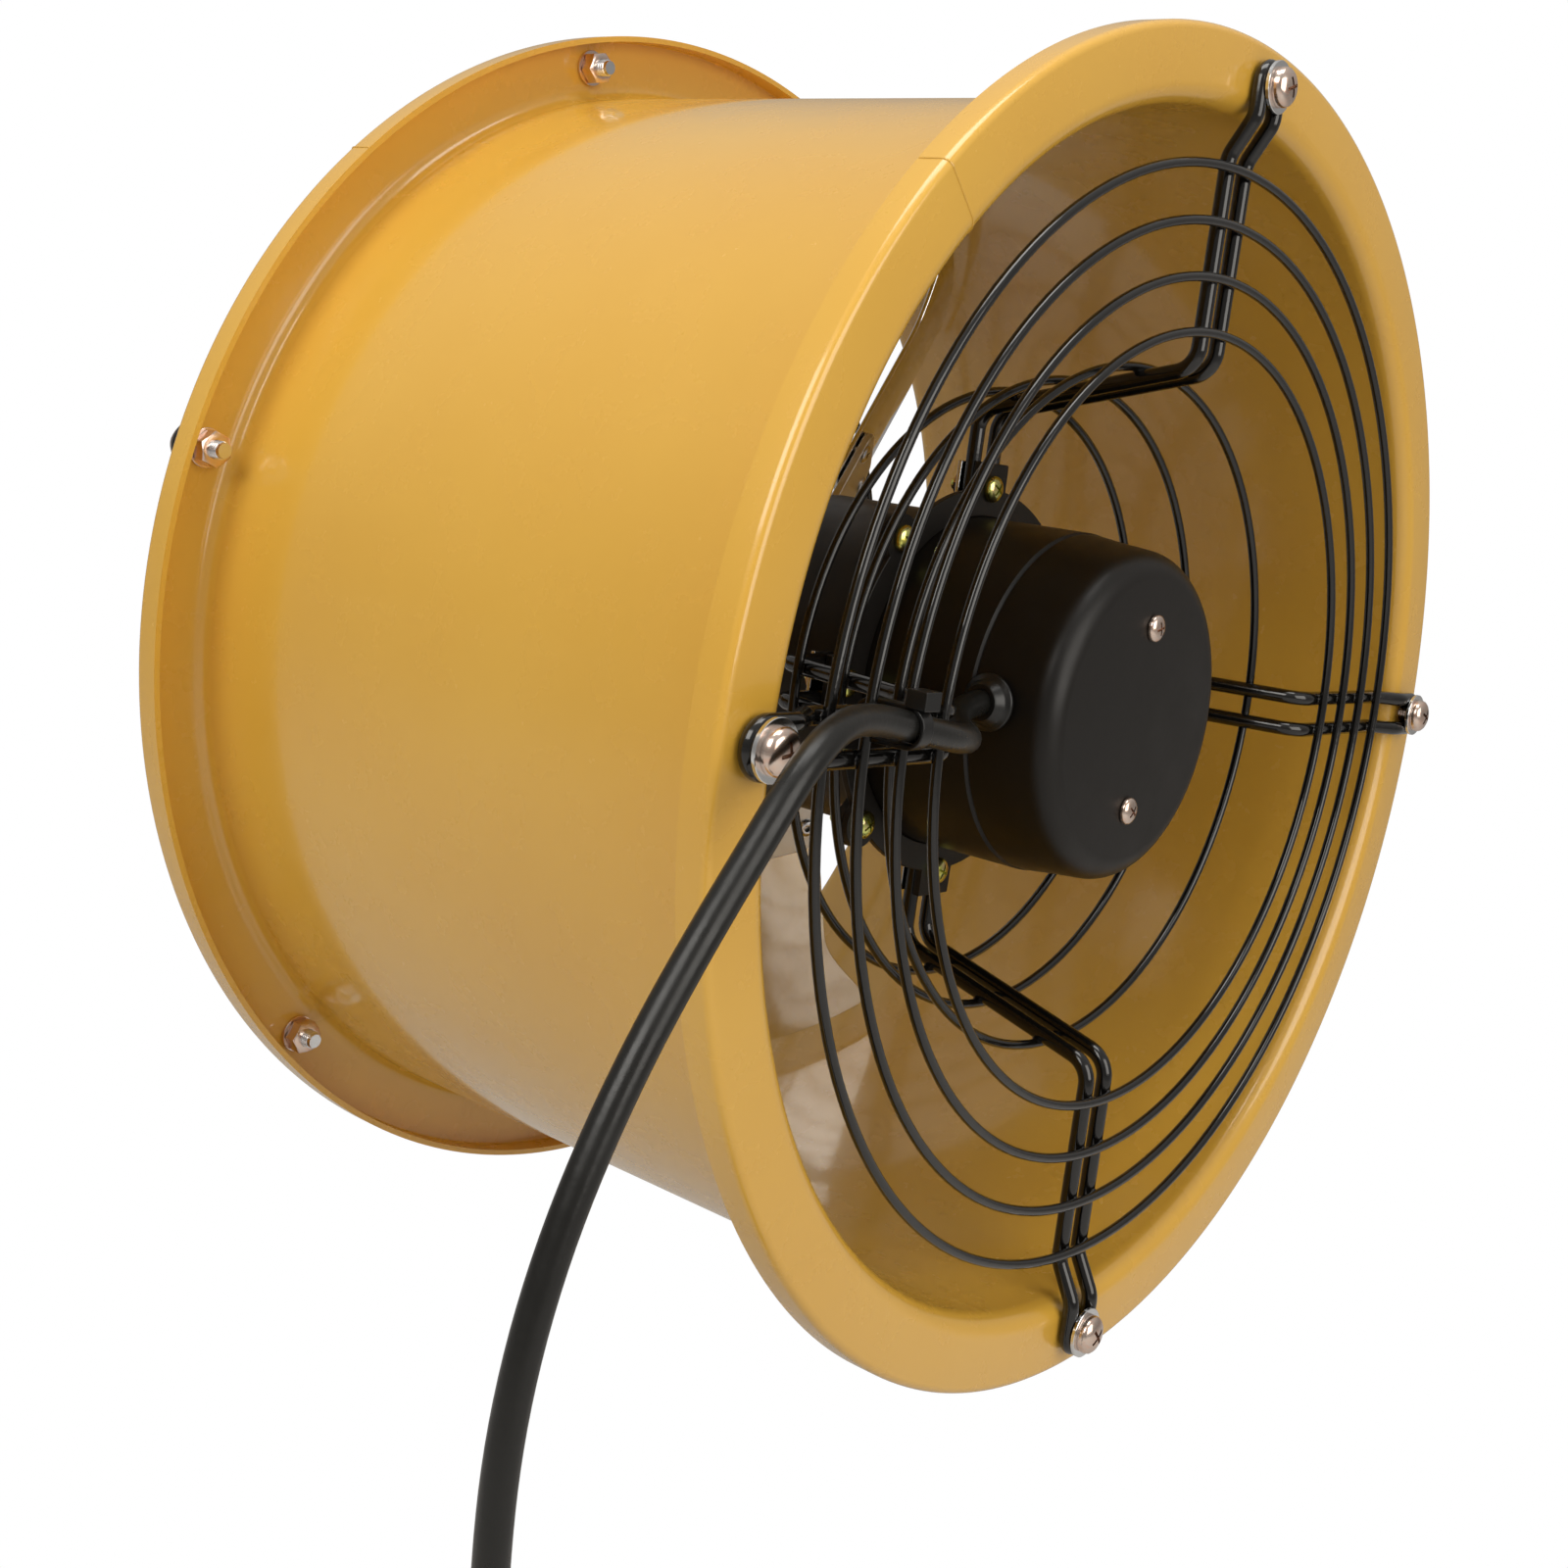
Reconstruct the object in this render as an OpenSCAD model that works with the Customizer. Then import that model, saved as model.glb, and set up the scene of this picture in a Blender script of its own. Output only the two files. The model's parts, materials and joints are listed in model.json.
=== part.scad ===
// Axial duct fan: a rolled steel duct with a flared flange at each end, a capacitor-run motor
// carried by four wire hairpins that are also its inlet guard, and a three-bladed impeller.
// Millimetres. The duct's axis is Y, and air flows along -Y. Z is up.

/* [Duct] */
// Diameter across each flange
flange_d = 345; // [340:1:350]
// Outside diameter of the tube
duct_d = 310; // [308:1:312]
// Length over the two flanges
duct_len = 190; // [188:1:192]
// Thickness of the casing sheet
sheet_t = 1.5; // [1.2:0.1:1.6]
// Width of the lip turned back round each flange
lip_w = 8; // [6:0.5:9]

/* [Guards] */
// Wire of the hairpins
leg_wire = 4.2; // [4:0.1:4.2]
// Wire of the rings
ring_wire = 2.5; // [2:0.1:2.6]
// Distance between the two legs of a hairpin
leg_gap = 9.4; // [9.2:0.1:9.6]
// Radius at which the inlet guard's screws sit
inlet_screw_r = 161.5; // [161:0.5:162]
// Radius at which the outlet guard's bolts sit
outlet_bolt_r = 164; // [163.5:0.5:164]
// Clock angle of the first outlet bolt
outlet_first_a = 17; // [0:1:59]

/* [Motor] */
// Radius of the motor's front shell
motor_r = 45.5; // [45:0.1:46]
// Length of the stator stack
stack_len = 36; // [30:1:36]
// Gap between rotor and stator
air_gap = 0.4; // [0.3:0.1:0.6]

/* [Impeller] */
// Number of blades
blades = 3; // [3]
// Radius over the blade tips
tip_r = 147; // [140:1:148]
// Setting angle of the blades
blade_angle = 30; // [22:1:32]
// Clock angle of the first blade
blade_first_a = -37; // [-60:0.5:60]

/* [Cord] */
// Diameter of the supply cord
cord_d = 6.5; // [6:0.1:6.6]

/* [Hidden] */
$fn = 64;
fine = 120;

// Duct
flange_r = flange_d / 2;
duct_r = duct_d / 2;
bend_in = 5.5;              // radius of the flare on the air side
bend_out = bend_in - sheet_t;
edge_in = 2;                // radius of the rim's fold, outside
edge_out = edge_in - sheet_t;
bolt_hole_r = 2.75;
quarter = [0, 90, 180, 270];
diagonal = [45, 135, 225, 315];
sixth = [for (k = [0:5]) outlet_first_a + 60 * k];

// Guard wires: leg planes along Y
leg_r = leg_wire / 2;
face_y = duct_len;
loop_y = face_y + leg_r;              // hairpin loop lying on the inlet flange
spoke_y = face_y - 3.6;               // hairpin leg behind the rings
ring_y = spoke_y + leg_r + ring_wire / 2 - 0.1;
plate_y = 125.6;                      // outlet-side face of the hairpin plate
plate_t = 2;
foot_y = plate_y - leg_r;             // hairpin feet, under the plate
knee_r = 90.7;                        // where a leg turns along the duct
ankle_r = 74.4;                       // where it turns in to the motor
toe_r = 50.8;
guard_radii = [99.7, 113.2, 126.7, 140.2];
basket_y = [170, 150, 132.7];
loop_bend_r = leg_gap / 2;
seat = 0.25;                          // how far a straight runs into a bend
outlet_radii = [for (k = [0:6]) 41 + 13.5 * k];
outlet_loop_y = -leg_r;
outlet_spoke_y = 3.6;
outlet_ring_y = outlet_spoke_y - leg_r - ring_wire / 2 + 0.1;
washer_t = 1;

// Motor: shells are 1.6 mm sheet
wall = 1.6;
shell_in_r = motor_r - 1.5;
flange_t = 1.2;
rear_flange_y = plate_y - flange_t;
front_flange_y = rear_flange_y - flange_t;
rear_end_y = 160.4;
front_end_y = 71;
cap_end_y = 183.4;
cap_open_r = 45.4;
cap_shut_r = 43.6;
cap_screw_r = 24;
shell_bolt_r = 53.4;
ear_r = 6.5;
stack_mid = 116;
stack_lo = stack_mid - stack_len / 2;
stack_hi = stack_mid + stack_len / 2;
stator_r = shell_in_r - 0.05;
stator_bore = 24;
rotor_r = stator_bore - air_gap;
slots = 24;
slot_r = 2.6;
slot_pitch_r = 30;
turns_w = 12.7;                       // depth of the end turns along the axis
shaft_r = 6;
thread_r = 5;
bearing_r = 15.98;
bearing_w = 10;
ball_r = 2.95;
ball_pitch_r = 11;
balls = 7;
race_gap = 0.15;
front_bearing_y = front_end_y + 1.5;
rear_bearing_y = 147.9;
pocket_r = 16;
pocket_wall = 1.8;
lead_z = [-10, -7, -4];

// Impeller
hub_y = 54;
blade_cone = 4.5;
blade_root_r = 54;
arm_w = 24;
arm_end_r = 76;
arm_t = 2.5;
blade_t = 1.6;
camber_r = 160;
rivet_pitch_r = 67.8;
rivet_s = [-9, 9];
rivet_r = 1.6;
blade_gap = 0.02;

// Cord: exit, free run and coil
exit_y = 166;
grommet_r = 5.4;
exit_z = 2;
cord_r = cord_d / 2;
free_run = [[50, 166, 2], [57.5, 166.8, 1.3], [65.5, 170, -0.2], [73, 175.8, -1.5],
  [80.5, 182.9, -1.8], [88.5, 189.6, -1], [97.5, 194.3, 0], [107.5, 196.2, 1.5], [118, 196.5, 3.2],
  [129, 197.4, 5.2], [140.5, 199.6, 6.6], [150.3, 202.2, 6.6], [159, 204.7, 4.4],
  [166.4, 206.1, -0.4], [172.2, 206.4, -7], [177.3, 206.2, -14.4], [182.9, 206, -22.2],
  [189.4, 206, -31], [199, 206, -45], [207.4, 206, -60], [214, 206, -75], [218.5, 206, -90],
  [221, 206, -105], [221.7, 206, -120], [220.8, 206, -135], [219.3, 206, -150], [218, 206, -165],
  [217.4, 206, -180], [217.3, 206, -195], [217.3, 206, -209]];
coil_in_r = 32.4;
coil_out_r = 45.6;
coil_w = 19.8;
coil_c = [175, 212.6, -215];
tail_run = [[165, 219.2, -257.8], [155.5, 219.2, -260], [147, 219.2, -265], [141, 219.2, -272.5],
  [138, 219.2, -281.5], [137.2, 219.2, -291], [137, 219.2, -301]];
cord_sides = 12;
tie_x = 121.5;

// ---- placing -----------------------------------------------------------------------------

// Everything is drawn with y = 0 on the outlet flange's face. This moves it so that the origin
// lies in the middle of the outlet lip, where a hose collar slides on
module datum() { translate([0, -(lip_w + edge_in) / 2, 0]) children(); }

// Turns a shape built round Z so that its axis is the duct's, Z towards the inlet
module along_duct(y = 0) { translate([0, y, 0]) rotate([-90, 0, 0]) children(); }

// Turns a shape built at twelve o'clock to clock angle a, towards +X
module clock(a) { rotate([0, a, 0]) children(); }

// Places a shape built round Z at twelve o'clock, radius r, with its Z along the duct
module on_pitch(angles, r, y) {
  for (a = angles) clock(a) translate([0, 0, r]) along_duct(y) children();
}

// Ring of wire round the duct's axis
module wire_ring(r, y, d) {
  along_duct(y) rotate_extrude($fn = fine) translate([r, 0]) circle(d / 2, $fn = 24);
}

// Disc or tube round the duct's axis from y to y + h
module ring(r_out, r_in, y, h) {
  along_duct(y) difference() {
    cylinder(r = r_out, h = h, $fn = fine);
    if (r_in > 0) translate([0, 0, -1]) cylinder(r = r_in, h = h + 2, $fn = fine);
  }
}

// Hexagon prism with flats w apart, axis Z
module hex(w, h) { cylinder(r = w / sqrt(3), h = h, $fn = 6); }

// ---- wire bent in one plane --------------------------------------------------------------

function turn(a, b) = atan2(a.x * b.y - a.y * b.x, a * b);
function unit(v) = v / norm(v);

// Length that a bend of radius r takes from each side of point i
function trim(p, i, r) = (i == 0 || i == len(p) - 1) ? 0
  : r * tan(abs(turn(p[i] - p[i - 1], p[i + 1] - p[i])) / 2);

// Wire of radius w along the points p in the XY plane, with bends of radius r; each straight
// runs a little way into the bend at its end
module bent_wire(p, r, w) {
  for (i = [0:len(p) - 2]) {
    u = unit(p[i + 1] - p[i]);
    a = p[i] + u * trim(p, i, r);
    b = p[i + 1] - u * trim(p, i + 1, r);
    translate([a.x - seat * u.x, a.y - seat * u.y, 0]) rotate([0, 90, atan2(u.y, u.x)])
      cylinder(r = w - 0.01, h = norm(b - a) + 2 * seat, $fn = 24);
  }
  for (i = [1:len(p) - 2]) {
    u = unit(p[i] - p[i - 1]);
    t = turn(p[i] - p[i - 1], p[i + 1] - p[i]);
    s = sign(t);
    c = p[i] - u * trim(p, i, r) + s * r * [-u.y, u.x];
    translate([c.x, c.y, 0]) rotate([0, 0, atan2(u.y, u.x) - 90 * s + (s < 0 ? t : 0)])
      rotate_extrude(angle = abs(t), $fn = fine) translate([r, 0]) circle(w, $fn = 24);
  }
}

// Hairpin at twelve o'clock: its legs follow p = [radius, y] and meet round the screw at p[0]
module hairpin(p, bend) {
  for (side = [-1, 1])
    translate([side * leg_gap / 2, 0, 0]) rotate([0, -90, 0]) bent_wire(p, bend, leg_r);
  translate([0, p[0].y, p[0].x]) rotate([90, 0, 0])
    rotate_extrude(angle = 180, $fn = fine) translate([loop_bend_r, 0]) circle(leg_r, $fn = 24);
}

// Inlet hairpin, from its loop on the flange to its feet under the plate
module inlet_hairpin(a) {
  datum() color("black") clock(a) hairpin([[inlet_screw_r, loop_y], [153.5, loop_y], [143.5, spoke_y],
    [knee_r, spoke_y], [ankle_r, foot_y], [toe_r, foot_y]], 7);
}

// ---- casing ------------------------------------------------------------------------------

// Sector of a round band from angle a0 to a0 + 90, radii r0 to r1
module quarter_band(c, r0, r1, a0) {
  translate(c) intersection() {
    difference() {
      circle(r1, $fn = fine);
      if (r0 > 0) circle(r0, $fn = fine);
    }
    rotate(a0) square(r1 + 1);
  }
}

// Section of one flared end: radius across, and height up from the flange's face
module flare_section() {
  flat_r = duct_r - sheet_t + bend_in;
  quarter_band([flat_r, bend_in], bend_out, bend_in, 180);
  translate([flat_r, 0]) square([flange_r - edge_in - flat_r, sheet_t]);
  quarter_band([flange_r - edge_in, edge_in], edge_out, edge_in, 270);
  translate([flange_r - sheet_t, edge_in]) square([sheet_t, lip_w - edge_in]);
}

module duct_casing() {
  datum() color("goldenrod") difference() {
    along_duct() rotate_extrude($fn = 180) {
      flare_section();
      translate([0, duct_len]) mirror([0, 1]) flare_section();
      translate([duct_r - sheet_t, bend_in]) square([sheet_t, duct_len - 2 * bend_in]);
    }
    on_pitch(quarter, inlet_screw_r, duct_len - 5) cylinder(r = bolt_hole_r, h = 10, $fn = 24);
    on_pitch(sixth, outlet_bolt_r, -5) cylinder(r = bolt_hole_r, h = 10, $fn = 24);
  }
}

// ---- inlet guard -------------------------------------------------------------------------

// Radius of a hairpin leg's centre where it runs along the duct
function leg_at(y) = ankle_r + (knee_r - ankle_r) * (y - foot_y) / (spoke_y - foot_y);

module inlet_guard_rings() {
  datum() color("black") for (r = guard_radii) wire_ring(r, ring_y, ring_wire);
}

module inlet_basket_rings() {
  datum() color("black") for (y = basket_y)
    wire_ring(leg_at(y) + (leg_r + ring_wire / 2) / cos(14.5) - 0.1, y, ring_wire);
}

// Flat plate that the hairpins' feet are clamped under; its eight ears take the shell bolts
module hairpin_plate() {
  datum() color("black") difference() {
    union() {
      ring(shell_bolt_r, 0, plate_y, plate_t);
      for (a = diagonal) clock(a) translate([0, 0, shell_bolt_r])
        along_duct(plate_y) cylinder(r = ear_r, h = plate_t, $fn = 32);
      for (a = quarter) clock(a) translate([-7, plate_y, 40]) cube([14, plate_t, 20.4]);
    }
    ring(motor_r + 0.25, 0, plate_y - 1, plate_t + 2);
    on_pitch(concat(quarter, diagonal), shell_bolt_r, plate_y - 1)
      cylinder(r = 2.1, h = plate_t + 2, $fn = 24);
  }
}

// Square washers that clamp each hairpin's feet against the plate
module hairpin_clamp_washers() {
  datum() color("silver") for (a = quarter) clock(a) translate([0, foot_y - leg_r - 1.2, shell_bolt_r])
    difference() {
      translate([-7, 0, -2.4]) cube([14, 1.2, 9]);
      translate([0, -1, 0]) along_duct() cylinder(r = 2.1, h = 4, $fn = 24);
    }
}

// Washer, axis Z, standing on z = 0
module washer(r_out, r_in, t) {
  difference() {
    cylinder(r = r_out, h = t, $fn = 32);
    translate([0, 0, -1]) cylinder(r = r_in, h = t + 2, $fn = 32);
  }
}

// Pan-head screw with a cross recess: head on z = 0, shank down to z = -len
module pan_screw(r_head, h_head, r_shank, length) {
  difference() {
    intersection() {
      cylinder(r = r_head, h = h_head, $fn = 32);
      translate([0, 0, h_head - r_head * 1.6]) sphere(r_head * 1.6, $fn = 48);
    }
    for (a = [0, 90]) rotate(a + 20) translate([-r_head * 0.5, -r_head * 0.09, h_head * 0.45])
      cube([r_head, r_head * 0.18, h_head]);
  }
  translate([0, 0, -length]) cylinder(r = r_shank, h = length, $fn = 24);
}

module inlet_guard_washers() {
  datum() color("silver") on_pitch(quarter, inlet_screw_r, face_y + leg_wire) washer(6.5, 2.65, washer_t);
}

module inlet_guard_screws() {
  datum() color("silver") on_pitch(quarter, inlet_screw_r, face_y + leg_wire + washer_t)
    pan_screw(5, 3.6, 2.4, 13);
}

module inlet_guard_nuts() {
  datum() color("silver") on_pitch(quarter, inlet_screw_r, face_y - sheet_t - 4.5) difference() {
    hex(8, 4);
    translate([0, 0, -1]) cylinder(r = 2.45, h = 6, $fn = 24);
  }
}

// ---- outlet guard ------------------------------------------------------------------------

module outlet_guard_rings() {
  datum() color("black") for (r = outlet_radii) wire_ring(r, outlet_ring_y, ring_wire);
}

module outlet_guard_spokes() {
  datum() color("black") for (a = sixth) clock(a) hairpin([[outlet_bolt_r, outlet_loop_y],
    [155, outlet_loop_y], [145, outlet_spoke_y], [20, outlet_spoke_y]], 7);
}

// Plate that the spokes end on
module outlet_guard_disc() {
  y_back = outlet_spoke_y - leg_r;
  datum() color("black") ring(34, 0, y_back - 1.2, 1.2);
}

module outlet_guard_washers() {
  datum() color("silver") {
    on_pitch(sixth, outlet_bolt_r, -leg_wire - washer_t) washer(5.5, 2.65, washer_t);
    on_pitch(sixth, outlet_bolt_r, sheet_t) washer(5, 2.65, washer_t);
  }
}

module outlet_guard_bolts() {
  datum() color("silver") on_pitch(sixth, outlet_bolt_r, -leg_wire - washer_t) mirror([0, 0, 1])
    pan_screw(4.6, 3.2, 2.4, 15);
}

module outlet_guard_nuts() {
  datum() color("silver") on_pitch(sixth, outlet_bolt_r, sheet_t + washer_t) difference() {
    hex(8, 4);
    translate([0, 0, -1]) cylinder(r = 2.45, h = 6, $fn = 24);
  }
}

// ---- motor housing -----------------------------------------------------------------------

module motor_rear_cap() {
  fillet = 7;
  length = cap_end_y - rear_end_y;
  datum() color("black") difference() {
    along_duct(rear_end_y) rotate_extrude($fn = fine) difference() {
      union() {
        polygon([[0, 0], [cap_open_r, 0], [cap_shut_r, length - fillet], [0, length - fillet]]);
        square([cap_shut_r - fillet, length]);
        translate([cap_shut_r - fillet, length - fillet]) intersection() {
          circle(fillet, $fn = fine);
          square(fillet);
        }
      }
      translate([-1, -1]) square([cap_shut_r - wall + 0.4, length - fillet + 1]);
      translate([-1, -1]) square([cap_shut_r - fillet + 1, length - wall + 1]);
      translate([cap_shut_r - fillet, length - fillet]) circle(fillet - wall, $fn = fine);
    }
    on_pitch([0, 180], cap_screw_r, cap_end_y - 5) cylinder(r = 2.1, h = 8, $fn = 24);
    translate([40, exit_y, exit_z]) rotate([0, 90, 0]) cylinder(r = 5, h = 8, $fn = 32);
  }
}

module motor_cap_screws() {
  datum() color("rosybrown") on_pitch([0, 180], cap_screw_r, cap_end_y) pan_screw(3.6, 2.2, 1.6, 12);
}

module motor_cap_posts() {
  datum() color("silver") on_pitch([0, 180], cap_screw_r, rear_end_y) difference() {
    hex(7, cap_end_y - wall - rear_end_y);
    translate([0, 0, 6]) cylinder(r = 1.65, h = 20, $fn = 24);
  }
}

// Ears at the diagonals for the bolts that join the two shells
module shell_flange(y) {
  ring(toe_r - 1, 0, y, flange_t);
  for (a = diagonal) clock(a) translate([0, 0, shell_bolt_r])
    along_duct(y) cylinder(r = ear_r, h = flange_t, $fn = 32);
}

module motor_rear_shell() {
  datum() color("black") difference() {
    union() {
      shell_flange(rear_flange_y);
      ring(motor_r + 0.1, 0, rear_flange_y, rear_end_y - rear_flange_y);
      ring(cap_shut_r - wall - 0.75, cap_shut_r - wall - 2.2, rear_end_y, 2.5);
    }
    ring(shell_in_r, 0, rear_flange_y - 1, rear_end_y - rear_flange_y + 1 - 1.5);
    translate([38, exit_y, exit_z]) rotate([0, 90, 0]) cylinder(r = grommet_r + 0.1, h = 6, $fn = 32);
    on_pitch(diagonal, shell_bolt_r, rear_flange_y - 1) cylinder(r = 2.1, h = 5, $fn = 24);
    for (z = lead_z) translate([31, rear_end_y - 5, z]) along_duct()
      cylinder(r = 1.4, h = 10, $fn = 24);
  }
  datum() color("black") ring(pocket_r + pocket_wall, pocket_r, rear_bearing_y, rear_end_y - 1.5 - rear_bearing_y);
}

module motor_front_shell() {
  fillet = 6;
  datum() color("black") difference() {
    union() {
      shell_flange(front_flange_y);
      along_duct(front_end_y) rotate_extrude($fn = fine) {
        translate([0, fillet]) square([motor_r, front_flange_y - front_end_y - fillet]);
        square([motor_r - fillet, fillet]);
        translate([motor_r - fillet, fillet]) intersection() {
          circle(fillet, $fn = fine);
          translate([0, -fillet]) square(fillet);
        }
      }
    }
    ring(shell_in_r, 0, front_end_y + fillet, 100);
    ring(shell_in_r - fillet + 1.5, 0, front_end_y + 1.5, fillet);
    ring(9.5, 0, front_end_y - 1, 10);
    on_pitch(diagonal, shell_bolt_r, front_flange_y - 1) cylinder(r = 2.1, h = 5, $fn = 24);
  }
  datum() color("black") ring(pocket_r + pocket_wall, pocket_r, front_bearing_y, bearing_w);
}

module shell_bolts() {
  datum() color("khaki") {
    on_pitch(diagonal, shell_bolt_r, plate_y + plate_t) pan_screw(3.7, 2.6, 1.95, 9.8);
    on_pitch(quarter, shell_bolt_r, plate_y + plate_t) pan_screw(3.7, 2.6, 1.95, 12.6);
  }
}

// M4 nut, axis Z
module small_nut() {
  difference() {
    hex(7, 3.2);
    translate([0, 0, -1]) cylinder(r = 2, h = 6, $fn = 24);
  }
}

module shell_nuts() {
  datum() color("rosybrown") {
    on_pitch(diagonal, shell_bolt_r, front_flange_y - 3.2) small_nut();
    on_pitch(quarter, shell_bolt_r, foot_y - leg_r - 1.2 - 3.2) small_nut();
  }
}

module run_capacitor() {
  datum() color("dimgray") translate([-36, rear_end_y, -17]) cube([26, 16, 34]);
}

module terminal_block() {
  datum() color("white") translate([12, rear_end_y, -12]) difference() {
    cube([14, 12, 24]);
    for (z = [5, 12, 19]) translate([7, 6, z]) along_duct() cylinder(r = 2, h = 10, $fn = 24);
  }
}

module motor_leads() {
  datum() color("royalblue") for (z = lead_z) translate([31, 0, z]) {
    translate([0, stack_hi + 0.3 + turns_w, 0]) along_duct()
      cylinder(r = 0.9, h = rear_end_y + 6 - stack_hi - 0.3 - turns_w, $fn = 24);
    translate([0, rear_end_y + 6, 0]) sphere(0.9, $fn = 24);
    translate([-5, rear_end_y + 6, 0]) rotate([0, 90, 0]) cylinder(r = 0.9, h = 5, $fn = 24);
  }
}

// ---- stator, rotor and bearings ------------------------------------------------------------

module stator_core() {
  datum() color("slategray") difference() {
    ring(stator_r, stator_bore, stack_lo, stack_len);
    for (k = [0:slots - 1]) clock(k * 360 / slots) translate([0, 0, slot_pitch_r])
      along_duct(stack_lo - 1) cylinder(r = slot_r, h = stack_len + 2, $fn = 24);
  }
}

// End turns at both ends, joined by the sides of the coils in the slots
module stator_winding() {
  datum() color("peru") {
    for (y = [stack_lo - 0.3 - turns_w, stack_hi + 0.3]) ring(39.5, 26, y, turns_w);
    for (k = [0:slots - 1]) clock(k * 360 / slots) translate([0, 0, slot_pitch_r])
      along_duct(stack_lo - 1) cylinder(r = slot_r - 0.2, h = stack_len + 2, $fn = 24);
  }
}

module rotor_core() {
  datum() color("lightslategray") ring(rotor_r, shaft_r + 0.02, stack_lo, stack_len);
}

module rotor_end_rings() {
  datum() color("silver") for (y = [stack_lo - 5, stack_hi]) ring(22.5, 12, y, 5);
}

module motor_shaft() {
  datum() color("silver") {
    ring(shaft_r, 0, hub_lo + 4, rear_bearing_y + bearing_w - hub_lo - 4);
    ring(thread_r, 0, hub_lo - 11.5, 15.5);
  }
}

module shaft_circlips() {
  datum() color("dimgray") for (y = [front_bearing_y + bearing_w + 0.1, rear_bearing_y - 1.1])
    ring(8.4, shaft_r + 0.02, y, 1);
}

// Groove that the balls run in
module race(y) {
  along_duct(y + bearing_w / 2) rotate_extrude($fn = fine) translate([ball_pitch_r, 0])
    circle(ball_r + race_gap, $fn = 48);
}

module bearing_outer(y) {
  datum() color("gainsboro") difference() {
    ring(bearing_r, 13, y, bearing_w);
    race(y);
  }
}

module bearing_inner(y) {
  datum() color("gainsboro") difference() {
    ring(9, shaft_r + 0.02, y, bearing_w);
    race(y);
  }
}

module bearing_balls(y) {
  datum() color("white") on_pitch([for (k = [0:balls - 1]) k * 360 / balls], ball_pitch_r, y + bearing_w / 2)
    sphere(ball_r, $fn = 48);
}

module bearing_cage(y) {
  datum() color("goldenrod") difference() {
    ring(11.8, 10.2, y + 1, bearing_w - 2);
    for (k = [0:balls - 1]) clock(k * 360 / balls) translate([0, y + bearing_w / 2, 5])
      cylinder(r = ball_r + race_gap, h = 10, $fn = 48);
  }
}

module rear_bearing_outer() { bearing_outer(rear_bearing_y); }
module rear_bearing_inner() { bearing_inner(rear_bearing_y); }
module rear_bearing_balls() { bearing_balls(rear_bearing_y); }
module rear_bearing_cage() { bearing_cage(rear_bearing_y); }
module front_bearing_outer() { bearing_outer(front_bearing_y); }
module front_bearing_inner() { bearing_inner(front_bearing_y); }
module front_bearing_balls() { bearing_balls(front_bearing_y); }
module front_bearing_cage() { bearing_cage(front_bearing_y); }

module wave_washer() {
  datum() color("silver") ring(15.5, 13.2, rear_bearing_y + bearing_w + 0.1, 0.8);
}

// ---- impeller ------------------------------------------------------------------------------

hub_lo = hub_y - 12;
hub_hi = hub_y + 9;
blade_angles = [for (k = [0:blades - 1]) blade_first_a + 360 / blades * k];

module shaft_spacer() {
  datum() color("silver") ring(8.2, shaft_r + 0.02, hub_hi, front_bearing_y - hub_hi);
}

// Puts a shape drawn with X across the blade, Y out along it and Z towards the outlet in
// blade position: the plane z = 0 is the face of the arm that the blade is riveted to
module blade_place(a) {
  clock(a) translate([0, hub_y, 0]) rotate([blade_cone, 0, 0]) rotate([0, 0, blade_angle])
    rotate([90, 0, 0]) children();
}

module impeller_hub() {
  datum() color("silver") difference() {
    union() {
      ring(16, 0, hub_lo, hub_hi - hub_lo);
      for (a = blade_angles) blade_place(a) difference() {
        translate([-arm_w / 2, 8, -arm_t]) cube([arm_w, arm_end_r - 8, arm_t]);
        for (s = rivet_s) translate([s, rivet_pitch_r, -5])
          cylinder(r = rivet_r + 0.05, h = 10, $fn = 24);
      }
    }
    ring(shaft_r + 0.03, 0, 40, 40);
  }
}

// Half width of a blade at radius r: narrow at the arm, wide at the tip
function ramp(t) = t <= 0 ? 0 : t >= 1 ? 1 : t * t * (3 - 2 * t);
function lead_edge(r) = 14 + 16 * ramp((r - 112) / 40);
function trail_edge(r) = -(30 + 10 * ramp((r - 90) / 60));
outline_steps = 16;
outline_r = [for (k = [0:outline_steps]) blade_root_r + (152 - blade_root_r) * k / outline_steps];

// Pressed blade: a cambered strip of sheet, trimmed to its outline and to the tip circle
module blade(a) {
  datum() color("gainsboro") intersection() {
    blade_place(a) difference() {
      intersection() {
        translate([0, 0, camber_r + blade_gap]) rotate([-90, 0, 0]) difference() {
          cylinder(r = camber_r, h = 160, $fn = fine);
          translate([0, 0, -1]) cylinder(r = camber_r - blade_t, h = 162, $fn = fine);
        }
        translate([0, 0, -20]) linear_extrude(60) polygon(concat(
          [for (r = outline_r) [lead_edge(r), r]],
          [for (k = [outline_steps:-1:0]) [trail_edge(outline_r[k]), outline_r[k]]]));
      }
      for (s = rivet_s) translate([s, rivet_pitch_r, -10])
        cylinder(r = rivet_r + 0.05, h = 20, $fn = 24);
    }
    ring(tip_r, 0, 0, duct_len);
  }
}

module blade_1() { blade(blade_angles[0]); }
module blade_2() { blade(blade_angles[1]); }
module blade_3() { blade(blade_angles[2]); }

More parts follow.
